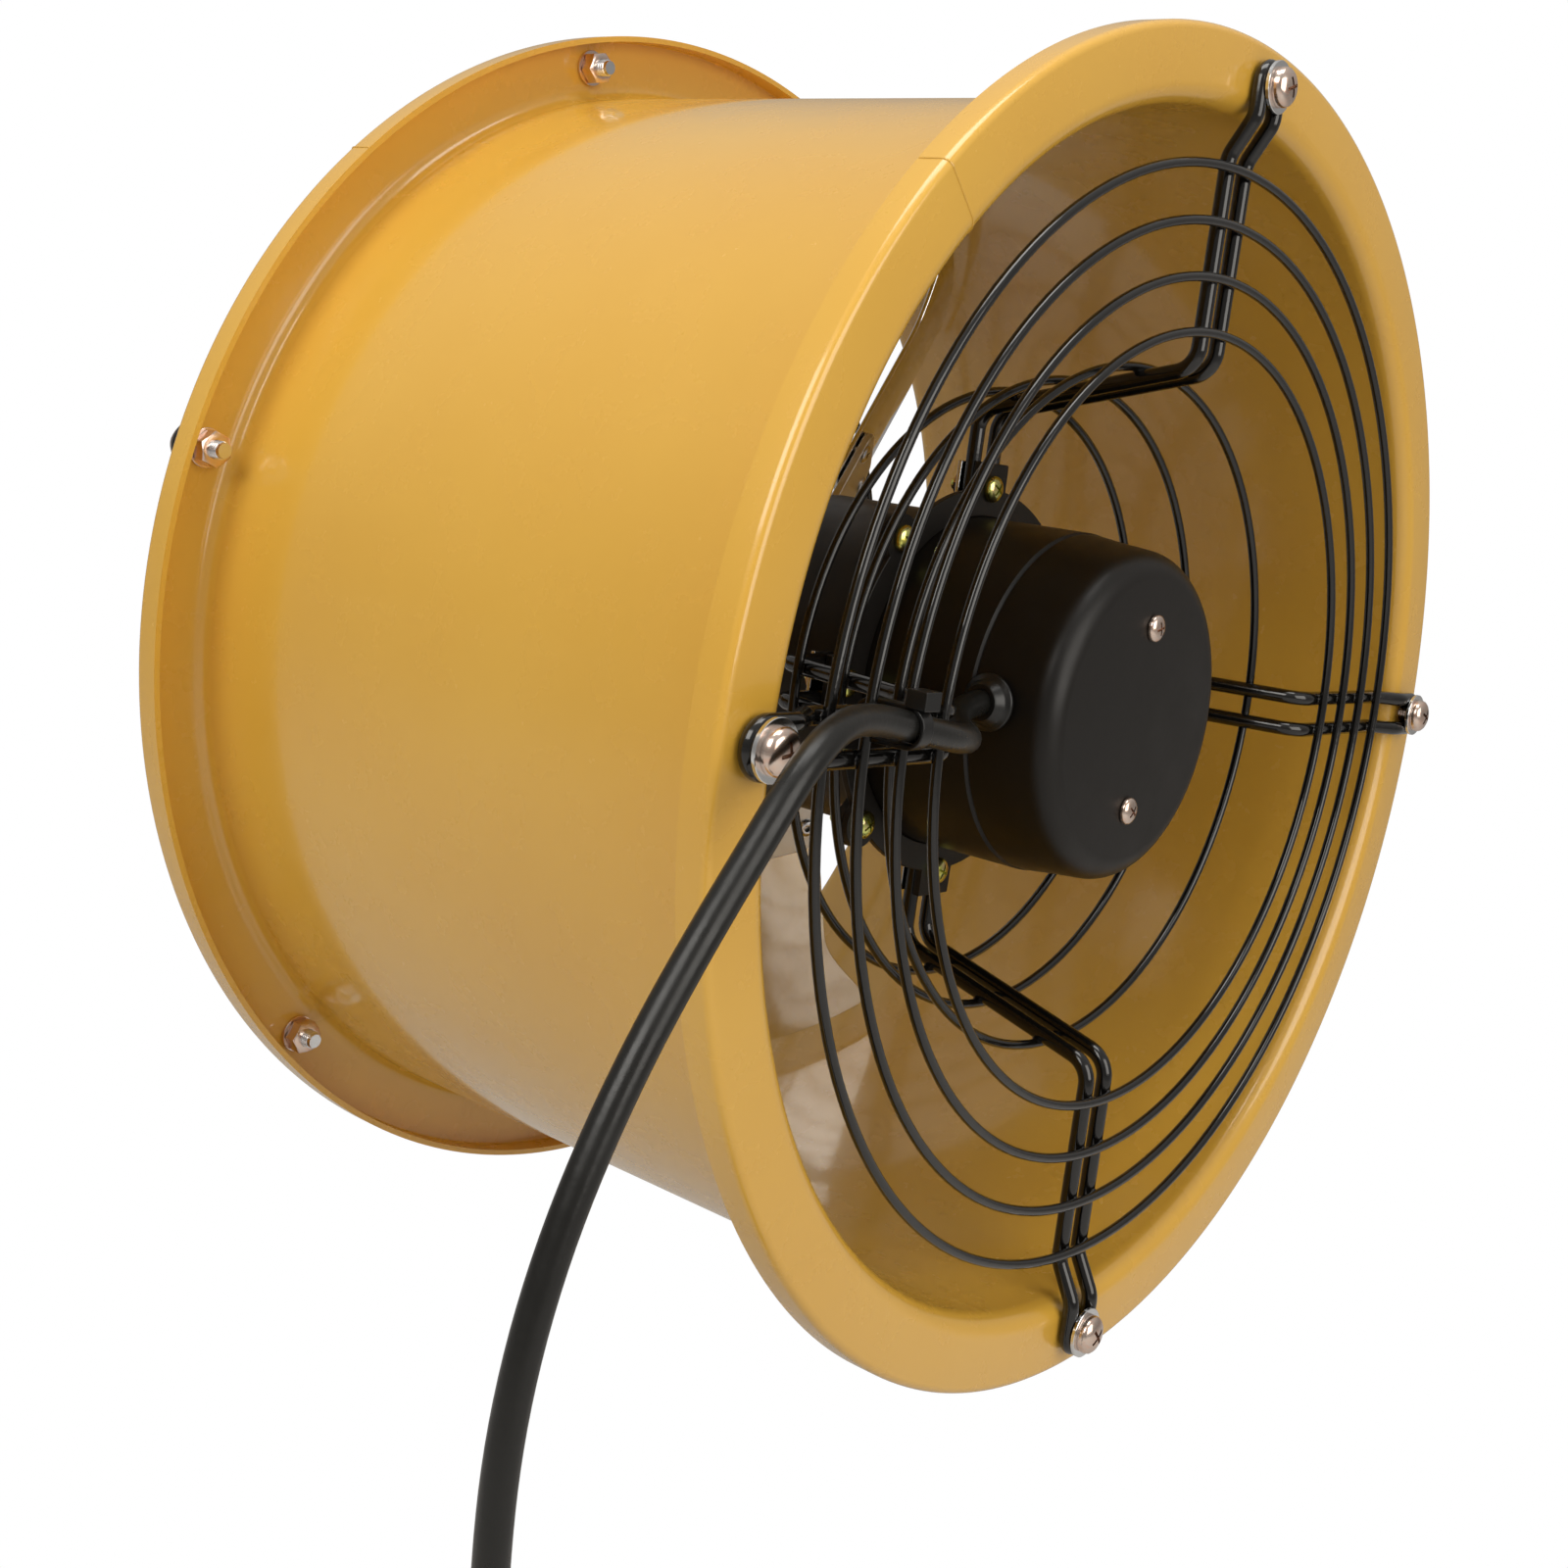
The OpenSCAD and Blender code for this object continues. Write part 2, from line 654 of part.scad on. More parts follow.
// Tubular rivets: domed-over head on the arm, rolled end on the blade
module blade_rivets() {
  tail_r = 2.6;
  far_s = rivet_s[1] + tail_r;
  back = blade_gap + blade_t + far_s * far_s / (2 * (camber_r - blade_t)) + 0.02;
  datum() color("gainsboro") for (a = blade_angles) blade_place(a) for (s = rivet_s)
    translate([s, rivet_pitch_r, 0]) difference() {
      union() {
        translate([0, 0, -arm_t - 1.1]) cylinder(r = 3, h = 1.1, $fn = 32);
        translate([0, 0, -arm_t]) cylinder(r = rivet_r, h = arm_t + back + 1, $fn = 24);
        translate([0, 0, back]) cylinder(r = tail_r, h = 1, $fn = 32);
      }
      translate([0, 0, -arm_t - 2]) cylinder(r = 1, h = arm_t + 1.5, $fn = 24);
    }
}

module hub_washer() { datum() color("silver") ring(11, thread_r + 0.1, hub_lo - 1.5, 1.5); }

module hub_nut() {
  datum() color("silver") along_duct(hub_lo - 1.5 - 8) difference() {
    hex(17, 8);
    translate([0, 0, -1]) cylinder(r = thread_r + 0.02, h = 10, $fn = 32);
  }
}

// ---- cord ----------------------------------------------------------------------------------

// Rubber grommet in the cap's side, with a short taper that the cord leaves through
module cord_grommet() {
  datum() color("black") translate([0, exit_y, exit_z]) rotate([0, 90, 0]) difference() {
    union() {
      translate([0, 0, 38.9]) cylinder(r = grommet_r, h = 1.6, $fn = 32);
      translate([0, 0, 40.5]) cylinder(r = 4.9, h = 5.2, $fn = 32);
      translate([0, 0, 45.7]) cylinder(r = 7.2, h = 1.5, $fn = 32);
      translate([0, 0, 47.2]) cylinder(r1 = 6, r2 = 4.6, h = 2.8, $fn = 32);
    }
    translate([0, 0, 38]) cylinder(r = cord_r + 0.1, h = 20, $fn = 32);
  }
}

// Sheathed end of the cord inside the cap
module cord_inner_end() {
  datum() color("black") translate([26, exit_y, exit_z]) rotate([0, 90, 0])
    cylinder(r = cord_r, h = free_run[0].x - 26, $fn = 32);
}

// Nylon tie round the cord and the hairpin leg beside it
module guard_cable_tie() {
  z_low = 0.2;
  z_high = 7.3;
  y_low = spoke_y - leg_r - 0.3;
  y_high = 200.3;
  strap = 1.2;
  datum() color("black") translate([tie_x - 2.1, 0, 0]) {
    difference() {
      translate([0, y_low - strap, z_low - strap])
        cube([4.2, y_high - y_low + 2 * strap, z_high - z_low + 2 * strap]);
      translate([-1, y_low, z_low]) cube([7, y_high - y_low, z_high - z_low]);
    }
    translate([-0.7, y_high - 4, z_high + strap]) cube([5.6, 5.4, 3.6]);
  }
}

function cross_frame(t) = let (s = unit(cross(t, [0.2, 1, 0.1]))) [s, cross(s, t)];

// Points on a smooth curve that follows p, n to each span
function knot(p, i) = i < 0 ? 2 * p[0] - p[1]
  : i < len(p) ? p[i] : 2 * p[len(p) - 1] - p[len(p) - 2];
function curve(p, i, t) = (pow(1 - t, 3) * knot(p, i - 1) + (3 * pow(t, 3) - 6 * t * t + 4) * p[i]
  + (-3 * pow(t, 3) + 3 * t * t + 3 * t + 1) * knot(p, i + 1) + pow(t, 3) * knot(p, i + 2)) / 6;
function smooth_run(p, n) = concat(
  [for (i = [0:len(p) - 2]) for (k = [0:n - 1]) curve(p, i, k / n)], [p[len(p) - 1]]);

// Round tube through the points p, as one closed polyhedron
module tube(p, r) {
  n = len(p);
  s = cord_sides;
  rings = [for (i = [0:n - 1]) let (
    t = unit(p[min(i + 1, n - 1)] - p[max(i - 1, 0)]), f = cross_frame(t))
    for (k = [0:s - 1]) p[i] + r * (cos(360 * k / s) * f[0] + sin(360 * k / s) * f[1])];
  sides = [for (i = [0:n - 2]) for (k = [0:s - 1])
    [i * s + k, i * s + (k + 1) % s, (i + 1) * s + (k + 1) % s, (i + 1) * s + k]];
  polyhedron(points = rings, faces = concat(sides, [[for (k = [s - 1:-1:0]) k]],
    [[for (k = [0:s - 1]) (n - 1) * s + k]]), convexity = 10);
}

module power_cord() { datum() color("black") tube(smooth_run(free_run, 2), cord_r); }

module cord_tail() { datum() color("black") tube(smooth_run(tail_run, 2), cord_r); }

// Outer shape of the coiled length, with rounded corners
module cord_coil() {
  corner = 3;
  w = coil_out_r - coil_in_r;
  datum() color("black") translate(coil_c) rotate([90, 0, 0]) rotate_extrude($fn = fine)
    translate([coil_in_r, -coil_w / 2]) {
      translate([corner, 0]) square([w - 2 * corner, coil_w]);
      translate([0, corner]) square([w, coil_w - 2 * corner]);
      for (x = [corner, w - corner]) for (y = [corner, coil_w - corner])
        translate([x, y]) circle(corner, $fn = 32);
    }
}

// Strap that holds the coil's turns together
module coil_tie() {
  inside = [6, coil_w + 0.5, coil_out_r - coil_in_r + 0.5];
  outside = [5, coil_w + 2.9, coil_out_r - coil_in_r + 2.9];
  datum() color("black") translate(coil_c) rotate([0, -60, 0])
    translate([0, 0, (coil_in_r + coil_out_r) / 2]) difference() {
      cube(outside, center = true);
      cube(inside, center = true);
    }
}

// Moulded plug: a collar that the cord runs into, and a body with a flat front
module cord_plug() {
  p = tail_run[len(tail_run) - 1];
  datum() color("black") translate([p.x, p.y, p.z]) mirror([0, 0, 1]) {
    cylinder(r1 = 5, r2 = 7, h = 14, $fn = 32);
    translate([0, 0, 14]) linear_extrude(24) {
      square([22, 18], center = true);
      for (x = [-11, 11]) translate([x, 0]) circle(9, $fn = 32);
    }
  }
}

// Two sloping line blades and an upright earth blade
module plug_pins() {
  p = tail_run[len(tail_run) - 1];
  datum() color("silver") translate([p.x, p.y, p.z - 38]) mirror([0, 0, 1]) {
    for (s = [-1, 1]) translate([s * 7, -3, 0]) rotate(s * 30)
      translate([-0.8, -3.2, 0]) cube([1.6, 6.4, 17]);
    translate([-0.8, 3.6, 0]) cube([1.6, 6.4, 17]);
  }
}

duct_casing();
inlet_guard_rings();
inlet_basket_rings();
inlet_hairpin(0);  // hairpin_top
inlet_hairpin(90);  // hairpin_right
inlet_hairpin(180);  // hairpin_bottom
inlet_hairpin(270);  // hairpin_left
hairpin_plate();
hairpin_clamp_washers();
inlet_guard_washers();
inlet_guard_screws();
inlet_guard_nuts();
outlet_guard_rings();
outlet_guard_spokes();
outlet_guard_disc();
outlet_guard_bolts();
outlet_guard_washers();
outlet_guard_nuts();
motor_rear_cap();
motor_cap_screws();
motor_cap_posts();
motor_rear_shell();
motor_front_shell();
shell_bolts();
shell_nuts();
run_capacitor();
terminal_block();
motor_leads();
stator_core();
stator_winding();
rotor_core();
rotor_end_rings();
motor_shaft();
shaft_circlips();
rear_bearing_outer();
rear_bearing_inner();
rear_bearing_balls();
rear_bearing_cage();
front_bearing_outer();
front_bearing_inner();
front_bearing_balls();
front_bearing_cage();
wave_washer();
shaft_spacer();
impeller_hub();
blade_1();
blade_2();
blade_3();
blade_rivets();
hub_washer();
hub_nut();
cord_grommet();
cord_inner_end();
guard_cable_tie();
power_cord();
cord_coil();
coil_tie();
cord_tail();
cord_plug();
plug_pins();
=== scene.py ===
"""Blender scene of a portable axial duct fan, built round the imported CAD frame."""
import json
import math

import bmesh
import bpy
from mathutils import Matrix, Vector

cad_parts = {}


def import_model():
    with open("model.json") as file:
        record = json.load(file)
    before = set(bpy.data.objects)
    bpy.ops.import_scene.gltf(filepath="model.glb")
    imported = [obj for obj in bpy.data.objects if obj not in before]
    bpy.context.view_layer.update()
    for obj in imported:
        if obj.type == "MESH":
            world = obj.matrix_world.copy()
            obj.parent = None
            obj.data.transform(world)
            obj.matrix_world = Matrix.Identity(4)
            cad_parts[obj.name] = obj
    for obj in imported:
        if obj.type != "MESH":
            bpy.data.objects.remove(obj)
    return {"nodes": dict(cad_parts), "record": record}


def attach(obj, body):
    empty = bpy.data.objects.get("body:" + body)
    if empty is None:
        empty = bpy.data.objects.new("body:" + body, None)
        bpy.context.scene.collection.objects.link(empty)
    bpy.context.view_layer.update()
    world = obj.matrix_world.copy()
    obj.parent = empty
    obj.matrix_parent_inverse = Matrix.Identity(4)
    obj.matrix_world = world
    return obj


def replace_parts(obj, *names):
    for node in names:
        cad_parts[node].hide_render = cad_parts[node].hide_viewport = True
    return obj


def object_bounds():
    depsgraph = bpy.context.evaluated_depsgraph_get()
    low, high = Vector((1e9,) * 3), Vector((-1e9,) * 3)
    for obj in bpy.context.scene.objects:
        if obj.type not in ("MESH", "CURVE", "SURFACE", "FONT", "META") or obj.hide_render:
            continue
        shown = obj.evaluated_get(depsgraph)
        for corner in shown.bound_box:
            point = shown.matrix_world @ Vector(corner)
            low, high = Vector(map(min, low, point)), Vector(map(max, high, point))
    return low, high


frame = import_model()
cad_lo, cad_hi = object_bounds()
scene = bpy.context.scene
pi = math.pi
# Share of the full number of facets round each turned or swept shape
FINE = 1.0

# ---------------------------------------------------------------- camera
# Lengths are millimetres, with y from the outlet flange's face; DATUM puts the origin in its lip.
DATUM = 5.0


def mm(p):
    """Point in millimetres along the duct to a point in metres in the frame."""
    return Vector((p[0], p[1] - DATUM, p[2])) / 1000


# Place, direction and framing found by fitting the flanges, tube, guard and motor in the photograph
CAMERA_AT = (439.5, 418.1, 55.6)
yaw, pitch, roll = math.radians(216.79), math.radians(-5.10), math.radians(7.97)
cam_data = bpy.data.cameras.new("camera")
cam = bpy.data.objects.new("camera", cam_data)
scene.collection.objects.link(cam)
scene.camera = cam
look = Vector((math.cos(yaw) * math.cos(pitch), math.sin(yaw) * math.cos(pitch), math.sin(pitch)))
level = look.cross(Vector((0, 0, 1))).normalized()
upright = level.cross(look)
side = math.cos(roll) * level + math.sin(roll) * upright
up = -math.sin(roll) * level + math.cos(roll) * upright
turn = Matrix((side, up, -look)).transposed().to_4x4()
cam.matrix_world = Matrix.Translation(mm(CAMERA_AT)) @ turn
cam_data.lens = 44.0
cam_data.sensor_width = 36
cam_data.shift_x = -0.0474
cam_data.shift_y = -0.0951
cam_data.clip_start = 0.01
cam_data.clip_end = 20


# ---------------------------------------------------------------- mesh helpers
def obj(name, verts, faces, material, body="housing", bevel=0.0, segments=2, angle=40.0, slot=None):
    """Mesh object that rides a body; edges sharper than angle stay sharp, or are bevelled."""
    me = bpy.data.meshes.new(name)
    me.from_pydata([mm(v) for v in verts], [], faces)
    me.validate()
    bm = bmesh.new()
    bm.from_mesh(me)
    bmesh.ops.recalc_face_normals(bm, faces=bm.faces)
    bm.to_mesh(me)
    bm.free()
    o = bpy.data.objects.new(name, me)
    scene.collection.objects.link(o)
    me.materials.append(material)
    for p in me.polygons:
        p.use_smooth = True
    if bevel <= 0:
        me.set_sharp_from_angle(angle=math.radians(angle))
    else:
        m = o.modifiers.new("bevel", "BEVEL")
        m.width = bevel / 1000
        m.segments = segments
        m.limit_method = "ANGLE"
        m.angle_limit = math.radians(30)
        m.harden_normals = True
    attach(o, body)
    return o


class Shape:
    """Vertices and faces gathered from several solids."""

    def __init__(self):
        self.v, self.f = [], []

    def add(self, part, m=None):
        v, f = part
        n = len(self.v)
        self.v += [tuple(m @ Vector(p)) if m is not None else tuple(p) for p in v]
        self.f += [[i + n for i in face] for face in f]
        return self

    def make(self, name, material, **kw):
        return obj(name, self.v, self.f, material, **kw)


def lathe(profile, n=64, closed=True):
    """Turns (r, z) points round Z. A closed profile is a loop; an open one starts and ends on the axis."""
    n = max(12, int(n * FINE))
    v, f, rows = [], [], []
    for r, z in profile:
        if r < 1e-6:
            rows.append([len(v)])
            v.append((0, 0, z))
        else:
            rows.append(list(range(len(v), len(v) + n)))
            v += [(r * math.cos(2 * pi * k / n), r * math.sin(2 * pi * k / n), z) for k in range(n)]
    pairs = list(zip(rows, rows[1:])) + ([(rows[-1], rows[0])] if closed else [])
    for a, b in pairs:
        for k in range(n):
            j = (k + 1) % n
            if len(a) == 1 and len(b) == 1:
                continue
            if len(a) == 1:
                f.append([a[0], b[j], b[k]])
            elif len(b) == 1:
                f.append([a[k], a[j], b[0]])
            else:
                f.append([a[k], a[j], b[j], b[k]])
    return v, f


def arc(cx, cy, r, a0, a1, n=8):
    """Points round (cx, cy) from angle a0 to a1, in degrees."""
    return [(cx + r * math.cos(math.radians(a0 + (a1 - a0) * k / n)),
             cy + r * math.sin(math.radians(a0 + (a1 - a0) * k / n))) for k in range(n + 1)]


def bend(points, radius, n=8):
    """Rounds the corners of a polyline in space."""
    p = [Vector(q) for q in points]
    out = [p[0]]
    for i in range(1, len(p) - 1):
        a, b = (p[i - 1] - p[i]).normalized(), (p[i + 1] - p[i]).normalized()
        half = a.angle(b) / 2
        if half > pi / 2 - 1e-3:
            out.append(p[i])
            continue
        cut = radius / math.tan(half)
        centre = p[i] + (a + b).normalized() * (radius / math.sin(half))
        s, e = p[i] + a * cut - centre, p[i] + b * cut - centre
        whole = s.angle(e)
        for k in range(n + 1):
            t = k / n
            out.append(centre + (s * math.sin((1 - t) * whole) + e * math.sin(t * whole)) / math.sin(whole))
    out.append(p[-1])
    return out


def sweep(points, r, sides=16, closed=False):
    """Round wire along points, with a frame that doesn't twist and rounded ends."""
    p = [Vector(q) for q in points]
    n = len(p)
    sides = max(8, int(sides * FINE))
    tangents = []
    for i in range(n):
        a = p[(i - 1) % n] if closed or i else p[0]
        b = p[(i + 1) % n] if closed or i < n - 1 else p[-1]
        tangents.append((b - a).normalized())
    u = tangents[0].orthogonal().normalized()
    frames = []
    for t in tangents:
        u = (u - t * u.dot(t)).normalized()
        frames.append((u, t.cross(u)))
    stations = [(p[i], frames[i], r) for i in range(n)]
    if not closed:
        first, last = stations[0], stations[-1]
        head = [(first[0] - tangents[0] * r * math.sin(a), first[1], r * math.cos(a))
                for a in (1.45, 1.1, 0.7, 0.35)]
        tail = [(last[0] + tangents[-1] * r * math.sin(a), last[1], r * math.cos(a))
                for a in (0.35, 0.7, 1.1, 1.45)]
        stations = head + stations + tail
    v, f = [], []
    for c, (a, b), rr in stations:
        v += [tuple(c + rr * (math.cos(2 * pi * k / sides) * a + math.sin(2 * pi * k / sides) * b))
              for k in range(sides)]
    m = len(stations)
    for i in range(m if closed else m - 1):
        j = (i + 1) % m
        shift = 0
        if closed and j == 0:
            d = frames[0][0]
            shift = round(math.atan2(d.dot(frames[-1][1]), d.dot(frames[-1][0])) / (2 * pi / sides))
        for k in range(sides):
            a, b = i * sides + k, i * sides + (k + 1) % sides
            c, e = j * sides + (k - shift) % sides, j * sides + (k + 1 - shift) % sides
            f.append([a, b, e, c])
    if not closed:
        f.append(list(range(sides))[::-1])
        f.append([(m - 1) * sides + k for k in range(sides)])
    return v, f


def circle_y(r, y, n=160):
    """Points of a circle round the duct's axis."""
    n = int(n * FINE)
    return [(r * math.sin(2 * pi * k / n), y, r * math.cos(2 * pi * k / n)) for k in range(n)]


def block(lo, hi):
    """Box from corner lo to corner hi."""
    x0, y0, z0 = lo
    x1, y1, z1 = hi
    v = [(x, y, z) for z in (z0, z1) for y in (y0, y1) for x in (x0, x1)]
    return v, [[0, 2, 3, 1], [4, 5, 7, 6], [0, 1, 5, 4], [2, 6, 7, 3], [0, 4, 6, 2], [1, 3, 7, 5]]


def prism(outline, z0, z1):
    """Outline in x and y, drawn up from z0 to z1."""
    n = len(outline)
    v = [(x, y, z0) for x, y in outline] + [(x, y, z1) for x, y in outline]
    f = [list(range(n))[::-1], list(range(n, 2 * n))]
    f += [[k, (k + 1) % n, n + (k + 1) % n, n + k] for k in range(n)]
    return v, f


def axis_y(y=0.0):
    """Local Z along the duct towards the inlet."""
    return Matrix.Translation((0, y, 0)) @ Matrix.Rotation(-pi / 2, 4, "X")


def clock(a):
    """Turns a shape from twelve o'clock, +Z, towards +X, seen from the outlet."""
    return Matrix.Rotation(math.radians(a), 4, "Y")


def at(a, r, y, out=False):
    """Local Z along the duct at clock angle a; out turns it towards the outlet."""
    m = clock(a) @ Matrix.Translation((0, y, r)) @ Matrix.Rotation(-pi / 2, 4, "X")
    return m @ Matrix.Rotation(pi, 4, "X") if out else m


def carve(part, cutters):
    """Boolean difference, done at a hundredth of full size so that its tolerances suit small parts."""
    shrink = 100

    def temp(p):
        me = bpy.data.meshes.new("cutter")
        me.from_pydata([Vector(q) / shrink for q in p[0]], [], p[1])
        bm = bmesh.new()
        bm.from_mesh(me)
        bmesh.ops.recalc_face_normals(bm, faces=bm.faces)
        bm.to_mesh(me)
        bm.free()
        o = bpy.data.objects.new("cutter", me)
        scene.collection.objects.link(o)
        return o

    base = temp(part)
    tools = [temp(c) for c in cutters]
    for t in tools:
        m = base.modifiers.new("cut", "BOOLEAN")
        m.operation = "DIFFERENCE"
        m.object = t
        m.solver = "EXACT"
    dg = bpy.context.evaluated_depsgraph_get()
    me = bpy.data.meshes.new_from_object(base.evaluated_get(dg))
    v = [tuple(q.co * shrink) for q in me.vertices]
    f = [list(p.vertices) for p in me.polygons]
    for o in [base, *tools]:
        bpy.data.objects.remove(o)
    return v, f


# ---------------------------------------------------------------- materials
def nodes_of(name):
    """New material, its node tree and its shader."""
    m = bpy.data.materials.new(name)
    m.use_nodes = True
    t = m.node_tree
    return m, t, t.nodes["Principled BSDF"]


def link(t, a, output, b, socket):
    t.links.new(a.outputs[output], b.inputs[socket])


def noise(t, scale, detail):
    n = t.nodes.new("ShaderNodeTexNoise")
    n.inputs["Scale"].default_value = scale
    n.inputs["Detail"].default_value = detail
    link(t, t.nodes.new("ShaderNodeTexCoord"), "Object", n, "Vector")
    return n


def ramp(t, source, stops, output="Fac"):
    """Colours by value: stops are (place, colour)."""
    r = t.nodes.new("ShaderNodeValToRGB")
    elements = r.color_ramp.elements
    while len(elements) < len(stops):
        elements.new(0.5)
    for element, (place, colour) in zip(elements, stops):
        element.position = place
        element.color = (*colour, 1)
    link(t, source, output, r, "Fac")
    return r


def spread(t, source, lo, hi):
    """Stretches a noise, which seldom leaves 0.35 to 0.65, over lo to hi."""
    m = t.nodes.new("ShaderNodeMapRange")
    m.inputs["From Min"].default_value = 0.35
    m.inputs["From Max"].default_value = 0.65
    m.inputs["To Min"].default_value = lo
    m.inputs["To Max"].default_value = hi
    link(t, source, "Fac", m, "Value")
    return m


def bumps(t, b, layers):
    """Unevenness of the surface and its coat; layers are (noise scale, detail, height in metres)."""
    last = None
    for scale, detail, height in layers:
        bump = t.nodes.new("ShaderNodeBump")
        bump.inputs["Strength"].default_value = 1.0
        bump.inputs["Distance"].default_value = height
        link(t, noise(t, scale, detail), "Fac", bump, "Height")
        if last is not None:
            link(t, last, "Normal", bump, "Normal")
        last = bump
    for socket in ("Normal", "Coat Normal"):
        link(t, last, "Normal", b, socket)


def finish(name, base, rough, metal=0.0, coat=0.0, coat_rough=0.05, rough_var=0.0, var_scale=90.0,
           tint=None, layers=(), spec=0.5):
    """Material with a cloudy roughness, a tint of (noise scale, stops) and layers of unevenness."""
    m, t, b = nodes_of(name)
    b.inputs["Base Color"].default_value = (*base, 1)
    b.inputs["Metallic"].default_value = metal
    b.inputs["Roughness"].default_value = rough
    b.inputs["Coat Weight"].default_value = coat
    b.inputs["Coat Roughness"].default_value = coat_rough
    b.inputs["IOR"].default_value = 1.5
    b.inputs["Specular IOR Level"].default_value = spec
    if rough_var:
        cloud = spread(t, noise(t, var_scale, 6), rough - rough_var, rough + rough_var)
        link(t, cloud, "Result", b, "Roughness")
    if tint:
        scale, stops = tint
        link(t, ramp(t, noise(t, scale, 5), stops), "Color", b, "Base Color")
    if layers:
        bumps(t, b, layers)
    return m


yellow = finish("yellow_enamel", (0.70, 0.395, 0.052), 0.26, coat=0.7, coat_rough=0.08, rough_var=0.03,
                tint=(14, [(0.3, (0.685, 0.38, 0.048)), (0.7, (0.715, 0.41, 0.056))]),
                layers=[(9, 2, 0.0006), (700, 2, 0.000012)])
dip = finish("black_dip", (0.004, 0.0037, 0.0034), 0.13, coat=0.3, rough_var=0.04,
             layers=[(260, 2, 0.00004)])
satin = finish("black_satin", (0.0065, 0.0052, 0.0040), 0.40, spec=0.35, rough_var=0.06, var_scale=60,
               layers=[(1500, 3, 0.00001), (35, 2, 0.0001)])
zinc = finish("bright_zinc", (0.78, 0.79, 0.80), 0.16, metal=1.0, rough_var=0.06, var_scale=400,
              layers=[(900, 3, 0.000015)])
yellow_zinc = finish("yellow_zinc", (0.75, 0.68, 0.18), 0.18, metal=1.0,
                     tint=(420, [(0.3, (0.78, 0.66, 0.12)), (0.5, (0.70, 0.76, 0.22)),
                                 (0.7, (0.82, 0.58, 0.30))]))
tinted = finish("tinted_steel", (0.80, 0.56, 0.45), 0.2, metal=1.0,
                tint=(380, [(0.3, (0.84, 0.60, 0.48)), (0.55, (0.74, 0.62, 0.54)),
                            (0.75, (0.80, 0.48, 0.36))]))
blade_metal = finish("blade_sheet", (0.80, 0.80, 0.79), 0.085, metal=1.0, rough_var=0.02, var_scale=50,
                     layers=[(16, 2, 0.0016)])
cast = finish("cast_aluminium", (0.62, 0.62, 0.61), 0.34, metal=1.0, rough_var=0.06,
              layers=[(500, 4, 0.00005)])
steel = finish("machined_steel", (0.60, 0.60, 0.61), 0.25, metal=1.0, rough_var=0.05, var_scale=300)
lamination = finish("lamination_steel", (0.30, 0.31, 0.34), 0.4, metal=1.0)
copper = finish("enamelled_copper", (0.55, 0.20, 0.07), 0.25, metal=0.9, layers=[(300, 3, 0.0003)])
brass = finish("cage_brass", (0.70, 0.52, 0.20), 0.25, metal=1.0)
grey_plastic = finish("capacitor_grey", (0.12, 0.12, 0.13), 0.5)
white_plastic = finish("terminal_white", (0.75, 0.74, 0.70), 0.5)
blue = finish("lead_blue", (0.03, 0.10, 0.36), 0.35)
nylon = finish("black_nylon", (0.006, 0.006, 0.006), 0.3, layers=[(800, 2, 0.00002)])
rubber = finish("black_rubber", (0.006, 0.006, 0.0058), 0.33, layers=[(700, 3, 0.00003)])
cord_mat = finish("cord_rubber", (0.008, 0.0078, 0.0068), 0.32, spec=0.4, rough_var=0.05, var_scale=120,
                  layers=[(420, 3, 0.00006), (60, 2, 0.0001)])
pin_metal = finish("plug_pin_brass", (0.80, 0.74, 0.58), 0.2, metal=1.0)
by_slot = {
    "yellow_enamel": yellow, "black_dip": dip, "black_satin": satin, "bright_zinc": zinc,
    "yellow_zinc": yellow_zinc, "tinted_steel": tinted, "blade_sheet": blade_metal,
    "machined_steel": steel, "lamination_steel": lamination, "enamelled_copper": copper,
    "cast_aluminium": cast, "cage_brass": brass, "capacitor_grey": grey_plastic,
    "terminal_white": white_plastic, "lead_blue": blue, "black_nylon": nylon, "black_rubber": rubber,
    "cord_rubber": cord_mat, "plug_pin_brass": pin_metal}
for subpart in frame["record"]["subparts"]:
    part = frame["nodes"][subpart["node"]]
    part.data.materials.clear()
    part.data.materials.append(by_slot[subpart["material_slot"]])
    for p in part.data.polygons:
        p.use_smooth = True
    part.data.set_sharp_from_angle(angle=math.radians(35))

# ---------------------------------------------------------------- cord
CORD_R = 3.25
# Free run: from the grommet, along the guard's leg, over the flange's rim and down to the coil
route = [(50, 166, 2), (57.5, 166.8, 1.3), (65.5, 170, -0.2), (73, 175.8, -1.5), (80.5, 182.9, -1.8),
         (88.5, 189.6, -1), (97.5, 194.3, 0), (107.5, 196.2, 1.5), (118, 196.5, 3.2), (129, 197.4, 5.2),
         (140.5, 199.6, 6.6), (150.3, 202.2, 6.6), (159, 204.7, 4.4), (166.4, 206.1, -0.4),
         (172.2, 206.4, -7), (177.3, 206.2, -14.4), (182.9, 206, -22.2), (189.4, 206, -31), (199, 206, -45),
         (207.4, 206, -60), (214, 206, -75), (218.5, 206, -90), (221, 206, -105), (221.7, 206, -120),
         (220.8, 206, -135), (219.3, 206, -150), (218, 206, -165), (217.4, 206, -180), (217.3, 206, -195),
         (217.3, 206, -209)]
# End: out of the coil and down to the plug
end_route = [(165, 219.2, -257.8), (155.5, 219.2, -260), (147, 219.2, -265), (141, 219.2, -272.5),
             (138, 219.2, -281.5), (137.2, 219.2, -291), (137, 219.2, -301)]


def ease(t):
    """0 to 1 with a smooth start and end."""
    t = min(1.0, max(0.0, t))
    return t * t * (3 - 2 * t)


